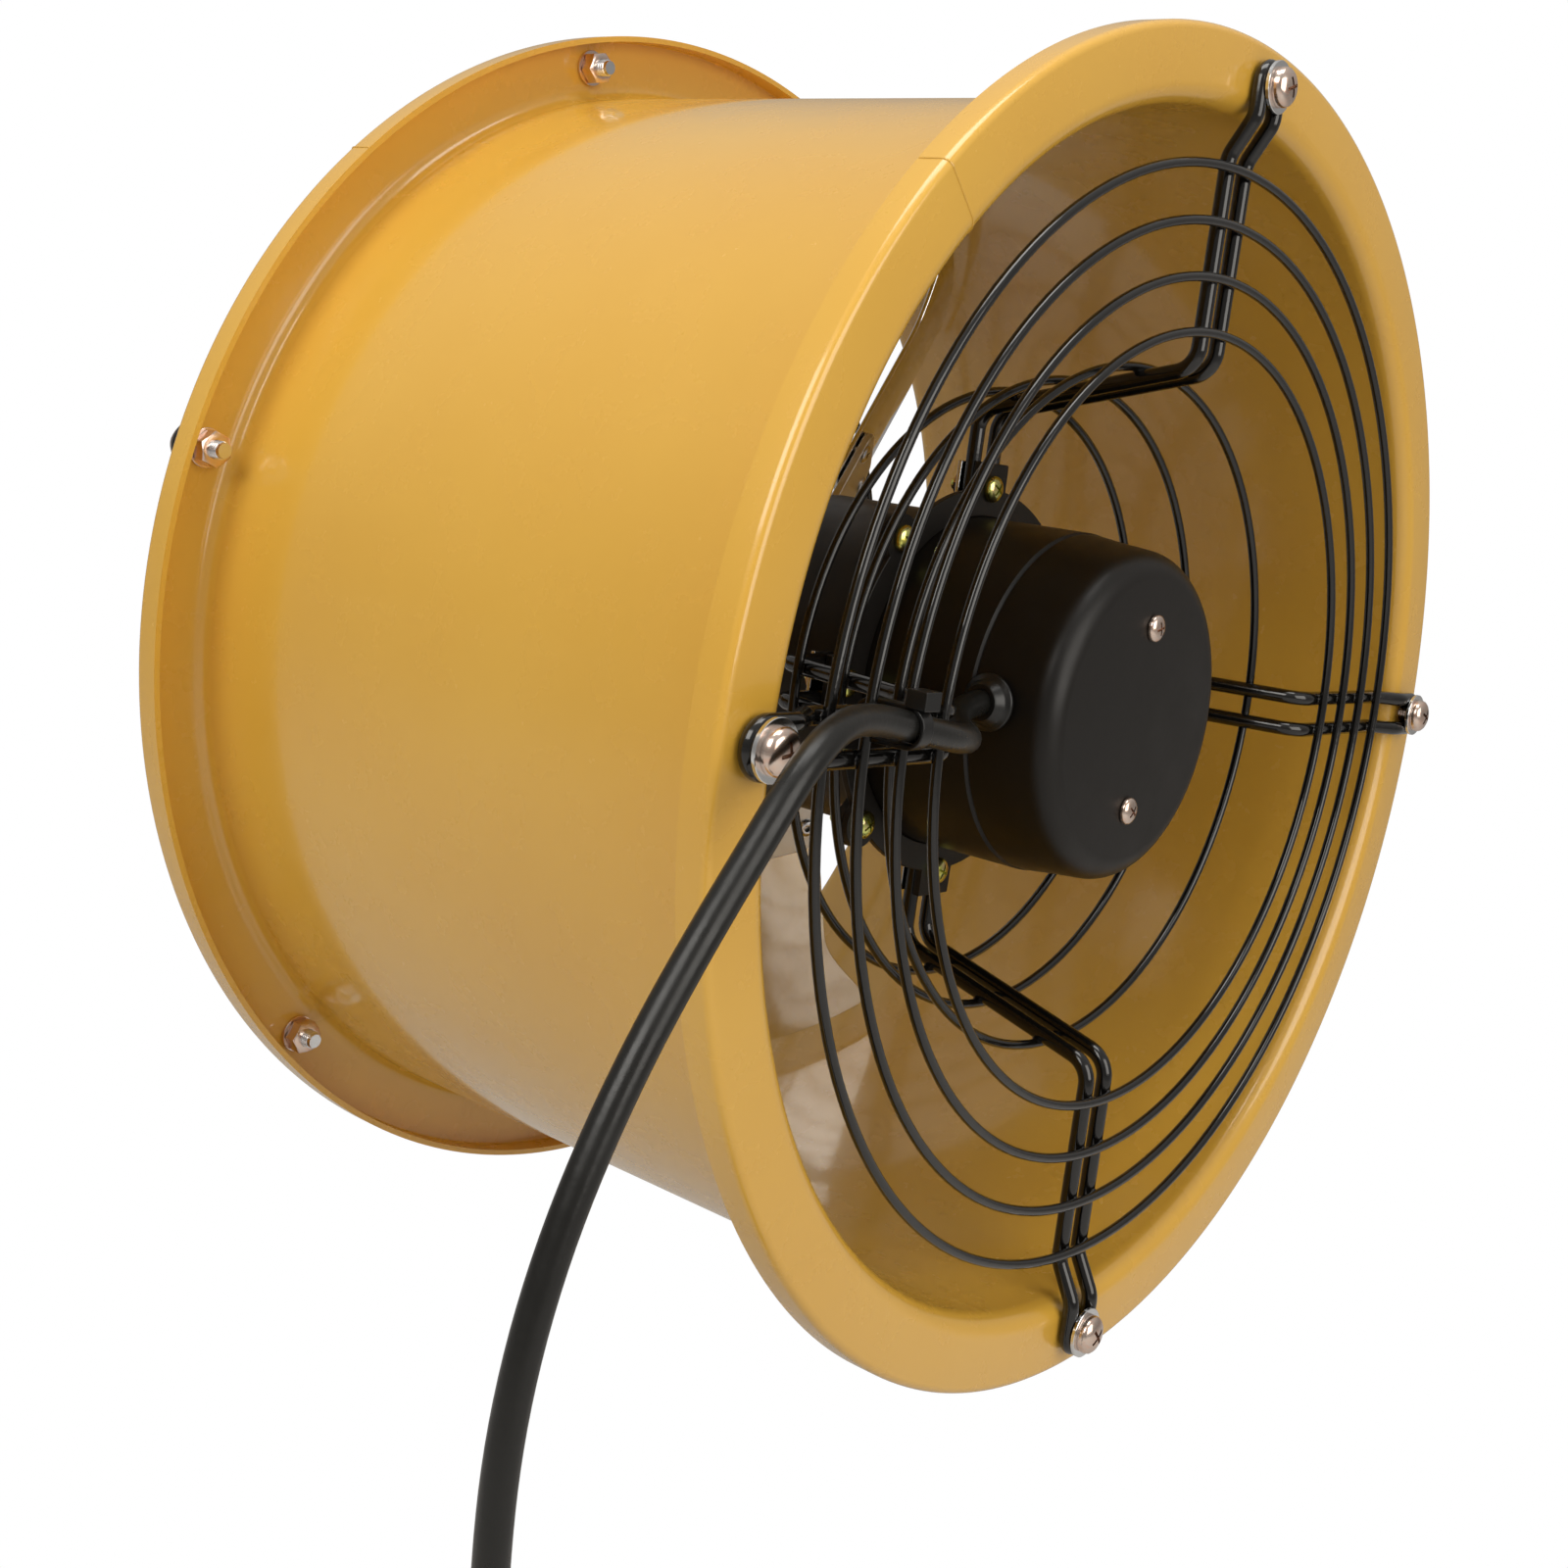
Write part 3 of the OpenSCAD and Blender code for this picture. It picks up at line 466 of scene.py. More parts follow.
def smooth_run(points, n):
    """Cubic B-spline through a run of guide points, n steps to each."""
    p = [Vector(q) for q in points]
    q = [2 * p[0] - p[1]] + p + [2 * p[-1] - p[-2]]
    out = []
    for i in range(len(p) - 1):
        a, b, c, d = q[i:i + 4]
        for k in range(n):
            t = k / n
            out.append(((1 - t) ** 3 * a + (3 * t ** 3 - 6 * t * t + 4) * b
                        + (-3 * t ** 3 + 3 * t * t + 3 * t + 1) * c + t ** 3 * d) / 6)
    return out + [p[-1]]


# Coil: its centre in x and z, the (radius, y) of each turn, and where it moves to the next, in degrees
COIL = (175, -215)
lanes = [(42.3, 206.0), (35.7, 206.0), (35.7, 212.6), (42.3, 212.6), (42.3, 219.2)]
shifts = [(270, 330), (570, 630), (870, 930), (1180, 1240)]
COIL_TURN = 1530


def coil_point(deg):
    """Point of the coil after so many degrees of winding."""
    r, y = lanes[0]
    for k, (a, b) in enumerate(shifts):
        if deg <= a:
            break
        t = ease((deg - a) / (b - a))
        r = lanes[k][0] + (lanes[k + 1][0] - lanes[k][0]) * t
        y = lanes[k][1] + (lanes[k + 1][1] - lanes[k][1]) * t
    a = -math.radians(deg)
    return Vector((COIL[0] + r * math.cos(a), y, COIL[1] + r * math.sin(a)))


line = smooth_run(route, 4)
line += [coil_point(d) for d in range(0, COIL_TURN + 1, 10)]
line += [p for p in smooth_run(end_route, 4) if p.x < end_route[0][0] + 1]
curve = bpy.data.curves.new("supply_cord", "CURVE")
curve.dimensions = "3D"
curve.bevel_depth = CORD_R / 1000
curve.bevel_resolution = 6
curve.use_fill_caps = True
spline = curve.splines.new("POLY")
spline.points.add(len(line) - 1)
for k, p in enumerate(line):
    spline.points[k].co = (*mm(p), 1)
spline.use_smooth = True
curve.materials.append(cord_mat)
cord = bpy.data.objects.new("supply_cord", curve)
scene.collection.objects.link(cord)
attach(cord, "housing")
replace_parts(cord, "power_cord", "cord_coil", "cord_tail")

# Plug: a moulded body with a ribbed collar, two sloping line blades and an upright earth blade
plug = Shape()
down = Matrix.Translation(end_route[-1]) @ Matrix.Rotation(pi, 4, "X")
plug.add(lathe([(0, -0.5), (4.4, -0.5), (4.9, 0), (5.3, 2), (4.7, 2.4), (4.7, 3.2), (5.7, 3.6), (5.9, 5.4),
                (5.1, 5.8), (5.1, 6.6), (6.3, 7.0), (6.5, 8.8), (5.8, 9.2), (5.8, 10), (7, 10.6), (7.4, 14),
                (0, 14)], 40, closed=False), down)
plug.add(prism(arc(11, 0, 9, -90, 90, 14) + arc(-11, 0, 9, 90, 270, 14), 14, 38), down)
plug_body = plug.make("cord_plug_body", rubber, bevel=1.0, segments=3, slot="black_rubber")
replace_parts(plug_body, "cord_plug")
pins = Shape()
for s in (-1, 1):
    pins.add(block((-0.8, -3.2, 36), (0.8, 3.2, 55)),
             down @ Matrix.Translation((s * 7, -3, 0)) @ Matrix.Rotation(math.radians(s * 30), 4, "Z"))
pins.add(block((-0.8, 3.6, 36), (0.8, 10, 55)), down)
plug_pins = pins.make("cord_plug_pins", pin_metal, bevel=0.35, slot="plug_pin_brass")
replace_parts(plug_pins, "plug_pins")



def rounded_box(cy, cz, half_y, half_z, radius, n):
    """Outline in y and z with rounded corners."""
    y, z = half_y - radius, half_z - radius
    return (arc(cy + y, cz + z, radius, 0, 90, n) + arc(cy - y, cz + z, radius, 90, 180, n)
            + arc(cy - y, cz - z, radius, 180, 270, n) + arc(cy + y, cz - z, radius, 270, 360, n))


def rows_joined(rows):
    """Closed surface through equally long closed rows of points, the last joined to the first."""
    n, m = len(rows[0]), len(rows)
    f = [[k * n + i, k * n + (i + 1) % n, (k + 1) % m * n + (i + 1) % n, (k + 1) % m * n + i]
         for k in range(m) for i in range(n)]
    return [p for row in rows for p in row], f


# Strap round the coil
tie = Shape()
STRAP_Y, STRAP_Z, STRAP_T, STRAP_W = 11.0, 7.4, 1.1, 2.3
strap_loop = rounded_box(0, 0, STRAP_Y, STRAP_Z, 2.5, 5)
strap_inner = [(y * (1 - STRAP_T / max(STRAP_Y, math.hypot(y, z))), z * (1 - STRAP_T / STRAP_Z))
               for y, z in strap_loop]
on_coil = (Matrix.Translation((COIL[0], 212.6, COIL[1])) @ Matrix.Rotation(math.radians(-60), 4, "Y")
           @ Matrix.Translation((0, 0, 39)))
corners = ((-STRAP_W, strap_loop), (STRAP_W, strap_loop), (STRAP_W, strap_inner), (-STRAP_W, strap_inner))
tie.add(rows_joined([[(x, y, z) for y, z in outline] for x, outline in corners]), on_coil)
tie.add(block((-3, 10.0, -2.6), (3, 13.6, 2.6)), on_coil)
coil_tie = tie.make("cord_coil_strap", nylon, bevel=0.25, slot="black_nylon")
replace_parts(coil_tie, "coil_tie")

# ---------------------------------------------------------------- casing
L = 190.0
# Flanges' outer and inner faces, each from the lip's edge round its roll to the tube
outlet = [(172.5, 8.0)] + arc(170.5, 2, 2, 0, -90, 6) + arc(159, 5.5, 5.5, 270, 180, 14)
inlet = [(r, L - y) for r, y in outlet[::-1]]
back = [(171, L - 8), (171, L - 2)] + arc(170.5, L - 2, 0.5, 0, 90, 3) + arc(159, L - 5.5, 4, 90, 180, 12)
back_out = [(r, L - y) for r, y in back[::-1]]
walls = [(153.5, y) for y in range(16, 175, 16)]
outer_walls = [(155.0, y) for y in range(174, 15, -16)]
profile = outlet + walls + inlet + back + outer_walls + back_out
casing = Shape().add(lathe(profile, 288), axis_y())
casing_o = casing.make("duct_casing_shell", yellow, angle=30, slot="yellow_enamel")
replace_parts(casing_o, "duct_casing")

# Welded joint: a fine bead across both flanges and their lips
WELD_AT = math.radians(47)
weld = Shape()
seam = [(172.5, 7.5), (172.5, 2.2)] + arc(170.5, 2, 2, 0, -90, 5)[1:] + arc(159, 5.5, 5.5, 270, 190, 8)
sine, cosine = math.sin(WELD_AT), math.cos(WELD_AT)
for sign, start in ((1, 0), (-1, L)):
    weld.add(sweep([(r * sine, start + sign * y, r * cosine) for r, y in seam], 0.25, 8))
weld.make("casing_weld_bead", yellow, slot="yellow_enamel")

# ---------------------------------------------------------------- guards
# Radii of the leg and ring wires, the four places along the duct of a hairpin's bends, and of the rings
LEG, RING = 2.1, 1.25
FACE = L
LOOP_Y, SPOKE_Y = FACE + LEG, FACE - 3.6
RING_Y = SPOKE_Y + LEG + RING - 0.1
FOOT_Y = 123.5
# Half of the spacing of a hairpin's two legs, and the middle of the loop round its screw
HALF_GAP = 4.7
SCREW_R = 161.5
leg_path = [(SCREW_R, LOOP_Y), (153.5, LOOP_Y), (143.5, SPOKE_Y), (90.7, SPOKE_Y), (74.4, FOOT_Y),
            (50.8, FOOT_Y)]
QUARTER = (0, 90, 180, 270)
DIAGONAL = (45, 135, 225, 315)
SIXTH = [17 + 60 * k for k in range(6)]


def hairpin(path, radius):
    """Both legs and the loop as one wire, at twelve o'clock."""
    legs = [bend([(s * HALF_GAP, y, r) for r, y in path], radius, 10) for s in (-1, 1)]
    r0, y0 = path[0]
    loop = [Vector((HALF_GAP * math.cos(a), y0, r0 + HALF_GAP * math.sin(a)))
            for a in [pi - pi * k / 24 for k in range(25)]]
    return sweep(legs[0][::-1][:-1] + loop + legs[1][1:], LEG, 20)


pin_shape = hairpin(leg_path, 7)
for name, a in zip(("top", "right", "bottom", "left"), QUARTER):
    o = Shape().add(pin_shape, clock(a)).make("guard_wire_" + name, dip, slot="black_dip")
    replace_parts(o, "hairpin_" + name)


def blob(c, r, squash=1.0):
    """Spot weld where two wires cross, flattened along the duct."""
    v, f = lathe([(0, -r)] + [(r * math.cos(b), r * math.sin(b)) for b in (-1.1, -0.7, -0.3, 0.1, 0.5, 0.9)]
                 + [(0, r)], 12, closed=False)
    return [(c[0] + p[0], c[1] + p[1] * squash, c[2] + p[2]) for p in v], f


rings = Shape()
for r in (99.7, 113.2, 126.7, 140.2):
    rings.add(sweep(circle_y(r, RING_Y), RING, 14, closed=True))
    for a in QUARTER:
        for s in (-HALF_GAP, HALF_GAP):
            rings.add(blob((s, SPOKE_Y + LEG - 0.1, math.sqrt(r * r - s * s)), 1.25, 0.5), clock(a))
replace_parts(rings.make("guard_rings_inlet", dip, slot="black_dip"), "inlet_guard_rings")
# The basket's rings lie on the outer side of the legs' slope
basket = Shape()
for y in (170, 150, 132.7):
    r = 74.4 + 16.3 * (y - FOOT_Y) / (SPOKE_Y - FOOT_Y) + (LEG + RING) / math.cos(math.radians(14.5)) - 0.1
    basket.add(sweep(circle_y(r, y, 128), RING, 14, closed=True))
    for a in QUARTER:
        for s in (-HALF_GAP, HALF_GAP):
            basket.add(blob((s, y, math.sqrt(r * r - s * s) - 1.2), 1.3, 1.0), clock(a))
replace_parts(basket.make("guard_rings_basket", dip, slot="black_dip"), "inlet_basket_rings")

outer = Shape()
for k in range(7):
    r = 41 + 13.5 * k
    outer.add(sweep(circle_y(r, 3.6 - LEG - RING + 0.1), RING, 12, closed=True))
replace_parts(outer.make("guard_rings_outlet", dip, slot="black_dip"), "outlet_guard_rings")
spokes = Shape()
spoke = hairpin([(164, -LEG), (155, -LEG), (145, 3.6), (20, 3.6)], 7)
for a in SIXTH:
    spokes.add(spoke, clock(a))
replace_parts(spokes.make("guard_spokes_outlet", dip, slot="black_dip"), "outlet_guard_spokes")
disc = Shape()
disc.add(lathe([(0, 0.3), (33.2, 0.3), (34, 0.9), (33.2, 1.5), (0, 1.5)], 96, closed=False), axis_y())
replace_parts(disc.make("guard_disc_outlet", dip, slot="black_dip"), "outlet_guard_disc")


# ---------------------------------------------------------------- fasteners
def cross_recess(r, top, depth, width):
    """Two crossed cutters for a screwdriver's recess."""
    a = prism([(-r, -width / 2), (r, -width / 2), (r, width / 2), (-r, width / 2)], top - depth, top + 1)
    b = prism([(-width / 2, -r), (width / 2, -r), (width / 2, r), (-width / 2, r)], top - depth, top + 1)
    return [a, b]


def pan_head(r, h, shank, length, recess=0.5):
    """Domed screw head above z = 0, with a cross recess, on a plain shank."""
    profile = [(0, -length), (shank * 0.8, -length), (shank, -length + 0.6), (shank, 0)]
    profile += [(r - 0.25, 0), (r, 0.25)]
    profile += [(r * math.cos(b), h * 0.35 + h * 0.65 * math.sin(b)) for b in (0, 0.3, 0.6, 0.9, 1.2)]
    profile += [(0, h)]
    part = lathe(profile, 40, closed=False)
    return carve(part, cross_recess(r * recess, h, h * 0.55, r * 0.17))


def nut(flats, h, bore):
    """Hexagon nut, chamfered on both faces, with a round bore."""
    face_r = flats / 2 * 0.97
    corner_r = flats / math.sqrt(3)
    corners = [(corner_r * math.cos(pi / 3 * k), corner_r * math.sin(pi / 3 * k)) for k in range(6)]
    edge = []
    for k, a in enumerate(corners):
        b = corners[(k + 1) % 6]
        edge += [a, ((a[0] + b[0]) / 2, (a[1] + b[1]) / 2)]
    n = len(edge)
    inner = [(bore * math.cos(2 * pi * k / n), bore * math.sin(2 * pi * k / n)) for k in range(n)]
    face = [(x * face_r / math.hypot(x, y), y * face_r / math.hypot(x, y)) for x, y in edge]
    tops = [h - max(0.0, math.hypot(x, y) - face_r) * 0.55 for x, y in edge]
    return rows_joined([
        [(x, y, 0) for x, y in inner], [(x, y, 0) for x, y in face],
        [(x, y, h - z) for (x, y), z in zip(edge, tops)], [(x, y, z) for (x, y), z in zip(edge, tops)],
        [(x, y, h) for x, y in face], [(x, y, h) for x, y in inner]])


def stud(r, length):
    """Screw end with ring grooves for its thread, from z = 0 up."""
    pitch = 0.8
    profile = [(0, 0)]
    z = 0.0
    while z < length - pitch:
        profile += [(r, z), (r, z + 0.3), (r * 0.88, z + 0.45)]
        z += pitch
    profile += [(r * 0.8, length), (0, length)]
    return lathe(profile, 24, closed=False)


def washer(r_out, r_in, t):
    edge = 0.12
    return lathe([(r_in, 0), (r_out - edge, 0), (r_out, edge), (r_out, t - edge), (r_out - edge, t),
                  (r_in, t)], 48)


def spun(turn):
    """A screw or nut turned about its own axis, as each is left after tightening."""
    return Matrix.Rotation(turn, 4, "Z")


# Inlet guard: M5 screws through the hairpins' loops
SHANK_M5 = 2.35
TOP = FACE + 2 * LEG
washers, screws, nuts = Shape(), Shape(), Shape()
head = pan_head(5, 3.6, SHANK_M5, 3)
for a, turned in zip(QUARTER, (25, 12, 40, 65)):
    washers.add(washer(6.5, 2.65, 1), at(a, SCREW_R, TOP))
    screws.add(head, at(a, SCREW_R, TOP + 1) @ spun(math.radians(turned)))
    screws.add(stud(SHANK_M5, 13), at(a, SCREW_R, TOP + 1, out=True))
    nuts.add(nut(8, 4, 2.45), at(a, SCREW_R, FACE - 1.5 - 4.5))
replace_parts(washers.make("guard_washers_inlet", zinc, slot="bright_zinc"), "inlet_guard_washers")
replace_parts(screws.make("guard_screws_inlet", tinted, slot="bright_zinc"), "inlet_guard_screws")
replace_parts(nuts.make("guard_nuts_inlet", zinc, slot="bright_zinc"), "inlet_guard_nuts")

# Outlet guard: M5 screws with their nuts on the flange's inner face
washers, screws, nuts = Shape(), Shape(), Shape()
head = pan_head(4.6, 3.2, SHANK_M5, 3)
for k, a in enumerate(SIXTH):
    washers.add(washer(5.5, 2.65, 1), at(a, 164, -2 * LEG - 1))
    washers.add(washer(5, 2.65, 1), at(a, 164, 1.5))
    screws.add(head, at(a, 164, -2 * LEG - 1, out=True) @ spun(k * 0.7))
    screws.add(stud(SHANK_M5, 15), at(a, 164, -2 * LEG - 1))
    nuts.add(nut(8, 4, 2.45), at(a, 164, 2.5) @ spun(k * 0.4))
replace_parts(washers.make("guard_washers_outlet", tinted, slot="bright_zinc"), "outlet_guard_washers")
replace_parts(screws.make("guard_bolts_outlet", zinc, slot="bright_zinc"), "outlet_guard_bolts")
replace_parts(nuts.make("guard_nuts_outlet", tinted, slot="bright_zinc"), "outlet_guard_nuts")

# Motor: M4 screws through the ears and through the hairpins' feet
PLATE_Y, BOLT_R, EAR_R = 125.6, 53.4, 6.5
bolts, nuts4, clamps = Shape(), Shape(), Shape()
m4 = pan_head(3.7, 2.6, 1.9, 3, 0.55)
for k, a in enumerate(DIAGONAL + QUARTER):
    end = 9.8 if a in DIAGONAL else 12.6
    bolts.add(m4, at(a, BOLT_R, PLATE_Y + 2) @ spun(0.5 + k * 0.9))
    bolts.add(stud(1.9, end), at(a, BOLT_R, PLATE_Y + 2, out=True))
    y = 120.0 if a in DIAGONAL else FOOT_Y - LEG - 1.2 - 3.2
    nuts4.add(nut(7, 3.2, 2), at(a, BOLT_R, y) @ spun(k * 0.5))
    if a in QUARTER:
        under_foot = clock(a) @ Matrix.Translation((0, FOOT_Y - LEG - 1.2, BOLT_R))
        clamps.add(block((-7, 0, -2.4), (7, 1.2, 6.6)), under_foot)
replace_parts(bolts.make("motor_bolts", yellow_zinc, slot="yellow_zinc"), "shell_bolts")
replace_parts(nuts4.make("motor_nuts", tinted, slot="tinted_steel"), "shell_nuts")
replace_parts(clamps.make("foot_clamps", zinc, bevel=0.25, slot="bright_zinc"), "hairpin_clamp_washers")


# ---------------------------------------------------------------- motor
def star(radius_at, r_in, y0, y1, n=720):
    """Flat ring whose outer edge is given by clock angle."""
    n = int(n * FINE)
    angles = [2 * pi * k / n for k in range(n)]
    outer = [radius_at(math.degrees(a)) for a in angles]
    inner = [r_in] * n
    return rows_joined([[(r * math.sin(a), y, r * math.cos(a)) for r, a in zip(radii, angles)]
                        for y, radii in ((y0, inner), (y0, outer), (y1, outer), (y1, inner))])


def ear(deg, centre, r_pitch, r_ear):
    """Radius to the edge of a round ear, or 0 beside it."""
    d = math.radians((deg - centre + 180) % 360 - 180)
    t = r_pitch * math.sin(d)
    if abs(t) >= r_ear or abs(d) > pi / 2:
        return 0
    return r_pitch * math.cos(d) + math.sqrt(r_ear * r_ear - t * t)


def tab(deg, centre, half, r_end):
    """Radius to the edge of a square-ended tab, or 0 beside it."""
    d = math.radians((deg - centre + 180) % 360 - 180)
    if abs(d) > pi / 3:
        return 0
    r = r_end / math.cos(d)
    return r if abs(r * math.sin(d)) <= half else half / abs(math.sin(d))


def ears(deg):
    return [ear(deg, c, BOLT_R, EAR_R) for c in DIAGONAL]


def plate_edge(deg):
    return max([BOLT_R] + ears(deg) + [tab(deg, c, 7, 60.4) for c in QUARTER])


def shell_edge(deg):
    return max([49.8] + ears(deg))


plate = Shape().add(star(plate_edge, 45.75, PLATE_Y, PLATE_Y + 2))
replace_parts(plate.make("motor_plate", satin, bevel=0.35, slot="black_satin"), "hairpin_plate")

# Pressed cap with a round shoulder and a slight flare, and the cord's hole in its side
REAR_END, CAP_END = 160.4, 183.4
_, EXIT_Y, EXIT_Z = route[0]
cap_len = CAP_END - REAR_END
cap_profile = [(0, cap_len), (36.6, cap_len)] + arc(36.6, cap_len - 7, 7, 90, 3, 12)
cap_profile += [(44.4, 8), (45.25, 0.9), (45.2, 0.35), (44.9, 0), (42.4, 0), (42.3, cap_len - 8)]
cap_profile += arc(36.6, cap_len - 7, 5.4, 10, 90, 8) + [(0, cap_len - 1.6)]
cap_part = lathe(cap_profile, 160, closed=False)
through_side = Matrix.Translation((45, -EXIT_Z, EXIT_Y - REAR_END)) @ Matrix.Rotation(pi / 2, 4, "Y")
side_hole = Shape().add(lathe([(0, -6), (5, -6), (5, 6), (0, 6)], 32, closed=False), through_side)
cap_part = carve(cap_part, [(side_hole.v, side_hole.f)])
cap = Shape().add(cap_part, axis_y(REAR_END))
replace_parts(cap.make("motor_cap", satin, slot="black_satin", angle=30), "motor_rear_cap")
cap_screws = Shape()
m3 = pan_head(3.6, 2.2, 1.6, 12)
for a, turned in ((0, 0.3), (180, 0.9)):
    cap_screws.add(m3, at(a, 24, CAP_END) @ spun(turned))
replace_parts(cap_screws.make("motor_cap_screw_pair", tinted, slot="tinted_steel"), "motor_cap_screws")

# The shells meet at their flanges; each has a pocket for its bearing
SPLIT_Y, FRONT_Y, FLANGE_T = 124.4, 71.0, 1.2


def pocket(depth):
    return lathe([(16, 0), (17.8, 0), (17.8, depth), (16, depth)], 64)


rear = Shape()
rear.add(star(shell_edge, 44.0, SPLIT_Y, SPLIT_Y + FLANGE_T))
rear.add(lathe([(45.6, 0.6), (45.6, 35.2), (44.8, 36), (41.25, 36), (41.25, 38.2), (41.0, 38.5),
                (40.1, 38.5), (39.8, 38.2), (39.8, 36), (0, 36), (0, 34.5), (44, 34.5), (44, 0.6)],
               160, closed=False), axis_y(SPLIT_Y))
rear.add(pocket(11), axis_y(147.9))
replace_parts(rear.make("motor_shell_rear", satin, slot="black_satin", angle=30), "motor_rear_shell")
front = Shape()
front.add(star(shell_edge, 44.0, SPLIT_Y - FLANGE_T, SPLIT_Y))
front.add(lathe([(9.5, 0), (39.5, 0)] + arc(39.5, 6, 6, -90, 0, 10) + [(45.5, 52.8), (44, 52.8), (44, 6)]
                + arc(39.5, 6, 4.5, 0, -90, 8) + [(9.5, 1.5)], 160), axis_y(FRONT_Y))
front.add(pocket(10), axis_y(FRONT_Y + 1.5))
for k in range(3):
    front.add(sweep(circle_y(22 + 6.5 * k, FRONT_Y, 96), 0.45, 8, closed=True))
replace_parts(front.make("motor_shell_front", satin, slot="black_satin", angle=30), "motor_front_shell")

# Grommet with its raised flange, on the +X side of the cap
grommet = Shape()
grommet.add(lathe([(3.35, 38.9), (5.4, 38.9), (5.4, 40.5), (4.9, 40.5), (4.9, 45.4), (6.9, 45.4)]
                  + arc(6.5, 46.2, 0.75, -60, 60, 5)
                  + [(6.0, 47.2), (5.6, 47.8), (4.9, 49.6), (4.5, 50), (3.35, 50)], 48),
            Matrix.Translation((0, EXIT_Y, EXIT_Z)) @ Matrix.Rotation(pi / 2, 4, "Y"))
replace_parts(grommet.make("cord_exit_grommet", rubber, slot="black_rubber"), "cord_grommet")

# Cable tie round the cord and the leg of the guard wire beside it
guard_tie = Shape()
tie_y, tie_z = (SPOKE_Y - LEG - 0.3, 200.3), (0.2, 7.3)
tie_loop = rounded_box(sum(tie_y) / 2, sum(tie_z) / 2, (tie_y[1] - tie_y[0]) / 2, (tie_z[1] - tie_z[0]) / 2,
                       3.3, 8)


def tie_row(x, grow):
    """The tie's loop at x, moved outwards by grow."""
    row = []
    for k, (y, z) in enumerate(tie_loop):
        d = (Vector(tie_loop[(k + 1) % len(tie_loop)]) - Vector(tie_loop[k - 1])).normalized()
        row.append((x, y + d.y * grow, z - d.x * grow))
    return row


guard_tie.add(rows_joined([tie_row(119.6, 0.02), tie_row(123.4, 0.02), tie_row(123.4, 1.05),
                           tie_row(119.6, 1.05)]))
guard_tie.add(block((118.8, tie_y[1] - 4, tie_z[1] + 0.5), (124.2, tie_y[1] + 1.3, tie_z[1] + 4.6)))
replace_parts(guard_tie.make("guard_tie_strap", nylon, bevel=0.3, slot="black_nylon"), "guard_cable_tie")

# ---------------------------------------------------------------- impeller
# Hub's place, the blades' setting angle, the cone that they lean forward by, and their tip radius
HUB_Y, BETA, CONE, TIP = 54.0, math.radians(30), math.radians(4.5), 147.0
# Radii of the blades' camber and root, and the thickness of blade and arm
CAMBER, ROOT, SHEET, ARM_T = 160.0, 54.0, 1.6, 2.5
BLADE_ANGLES = [-37 + 120 * k for k in range(3)]


def lead(r):
    """Place of a blade's leading edge across its centre line."""
    return 14 + 16 * ease((r - 112) / 40)


def trail(r):
    return -(30 + 10 * ease((r - 90) / 60))


def on_blade(s, r, z):
    """Blade coordinates to duct coordinates, at twelve o'clock."""
    y = s * math.sin(BETA) - z * math.cos(BETA)
    return (s * math.cos(BETA) + z * math.sin(BETA), HUB_Y + y * math.cos(CONE) - r * math.sin(CONE),
            y * math.sin(CONE) + r * math.cos(CONE))


def blade_point(u, v, face):
    """Point of a blade: u from root to tip, v from trailing to leading edge, face 0 or 1."""
    tip = 140.0
    for _ in range(12):
        s = trail(tip) + v * (lead(tip) - trail(tip))
        x, _, z = on_blade(s, tip, CAMBER - math.sqrt(CAMBER * CAMBER - s * s))
        tip += TIP - 0.25 - math.hypot(x, z)
    r = ROOT + u * (tip - ROOT)
    s = trail(r) + v * (lead(r) - trail(r))
    z = 0.02 + CAMBER - math.sqrt(CAMBER * CAMBER - s * s)
    normal_z, normal_s = math.sqrt(1 - (s / CAMBER) ** 2), -s / CAMBER
    return on_blade(s + face * SHEET * normal_s, r, z + face * SHEET * normal_z)


# Steps along and across a blade; each row of points runs round it from one face to the other
ALONG, ACROSS = ((48, 26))
rim = [(j / ACROSS, 0) for j in range(ACROSS + 1)] + [(j / ACROSS, 1) for j in range(ACROSS, -1, -1)]
blade_v = [blade_point(i / ALONG, v, face) for i in range(ALONG + 1) for v, face in rim]
m = len(rim)
blade_f = [[i * m + j, i * m + (j + 1) % m, (i + 1) * m + (j + 1) % m, (i + 1) * m + j]
           for i in range(ALONG) for j in range(m)]
blade_f += [[i * m + j, i * m + j + 1, i * m + m - 2 - j, i * m + m - 1 - j]
            for i in (0, ALONG) for j in range(ACROSS)]
for k, a in enumerate(BLADE_ANGLES):
    blade = Shape().add((blade_v, blade_f), clock(a)).make(
        "impeller_blade_%d" % (k + 1), blade_metal, body="impeller", bevel=0.45, slot="blade_sheet")
    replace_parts(blade, "blade_%d" % (k + 1))
hub = Shape()
hub.add(lathe([(6.03, 0), (14.8, 0), (16, 1.2), (16, 19.8), (14.8, 21), (6.03, 21)], 96), axis_y(HUB_Y - 12))
rivets = Shape()
on = (Matrix.Translation((0, HUB_Y, 0)) @ Matrix.Rotation(CONE, 4, "X") @ Matrix.Rotation(BETA, 4, "Z")
      @ Matrix.Rotation(pi / 2, 4, "X"))
arm = prism([(-12, 8), (12, 8)] + arc(7, 71, 5, 0, 90, 6) + arc(-7, 71, 5, 90, 180, 6), -ARM_T, 0)
rivet = lathe([(1.0, -3.6), (1.5, -3.75), (2.4, -3.5), (3.0, -2.9), (3.0, -2.5), (1.6, -2.5), (1.6, 1.9),
               (2.5, 1.9), (2.4, 2.7), (0, 2.9), (0, -1.2), (1.0, -1.2)], 32, closed=False)
for a in BLADE_ANGLES:
    hub.add(arm, clock(a) @ on)
    for s in (-9, 9):
        rivets.add(rivet, clock(a) @ on @ Matrix.Translation((s, 67.8, 0)))
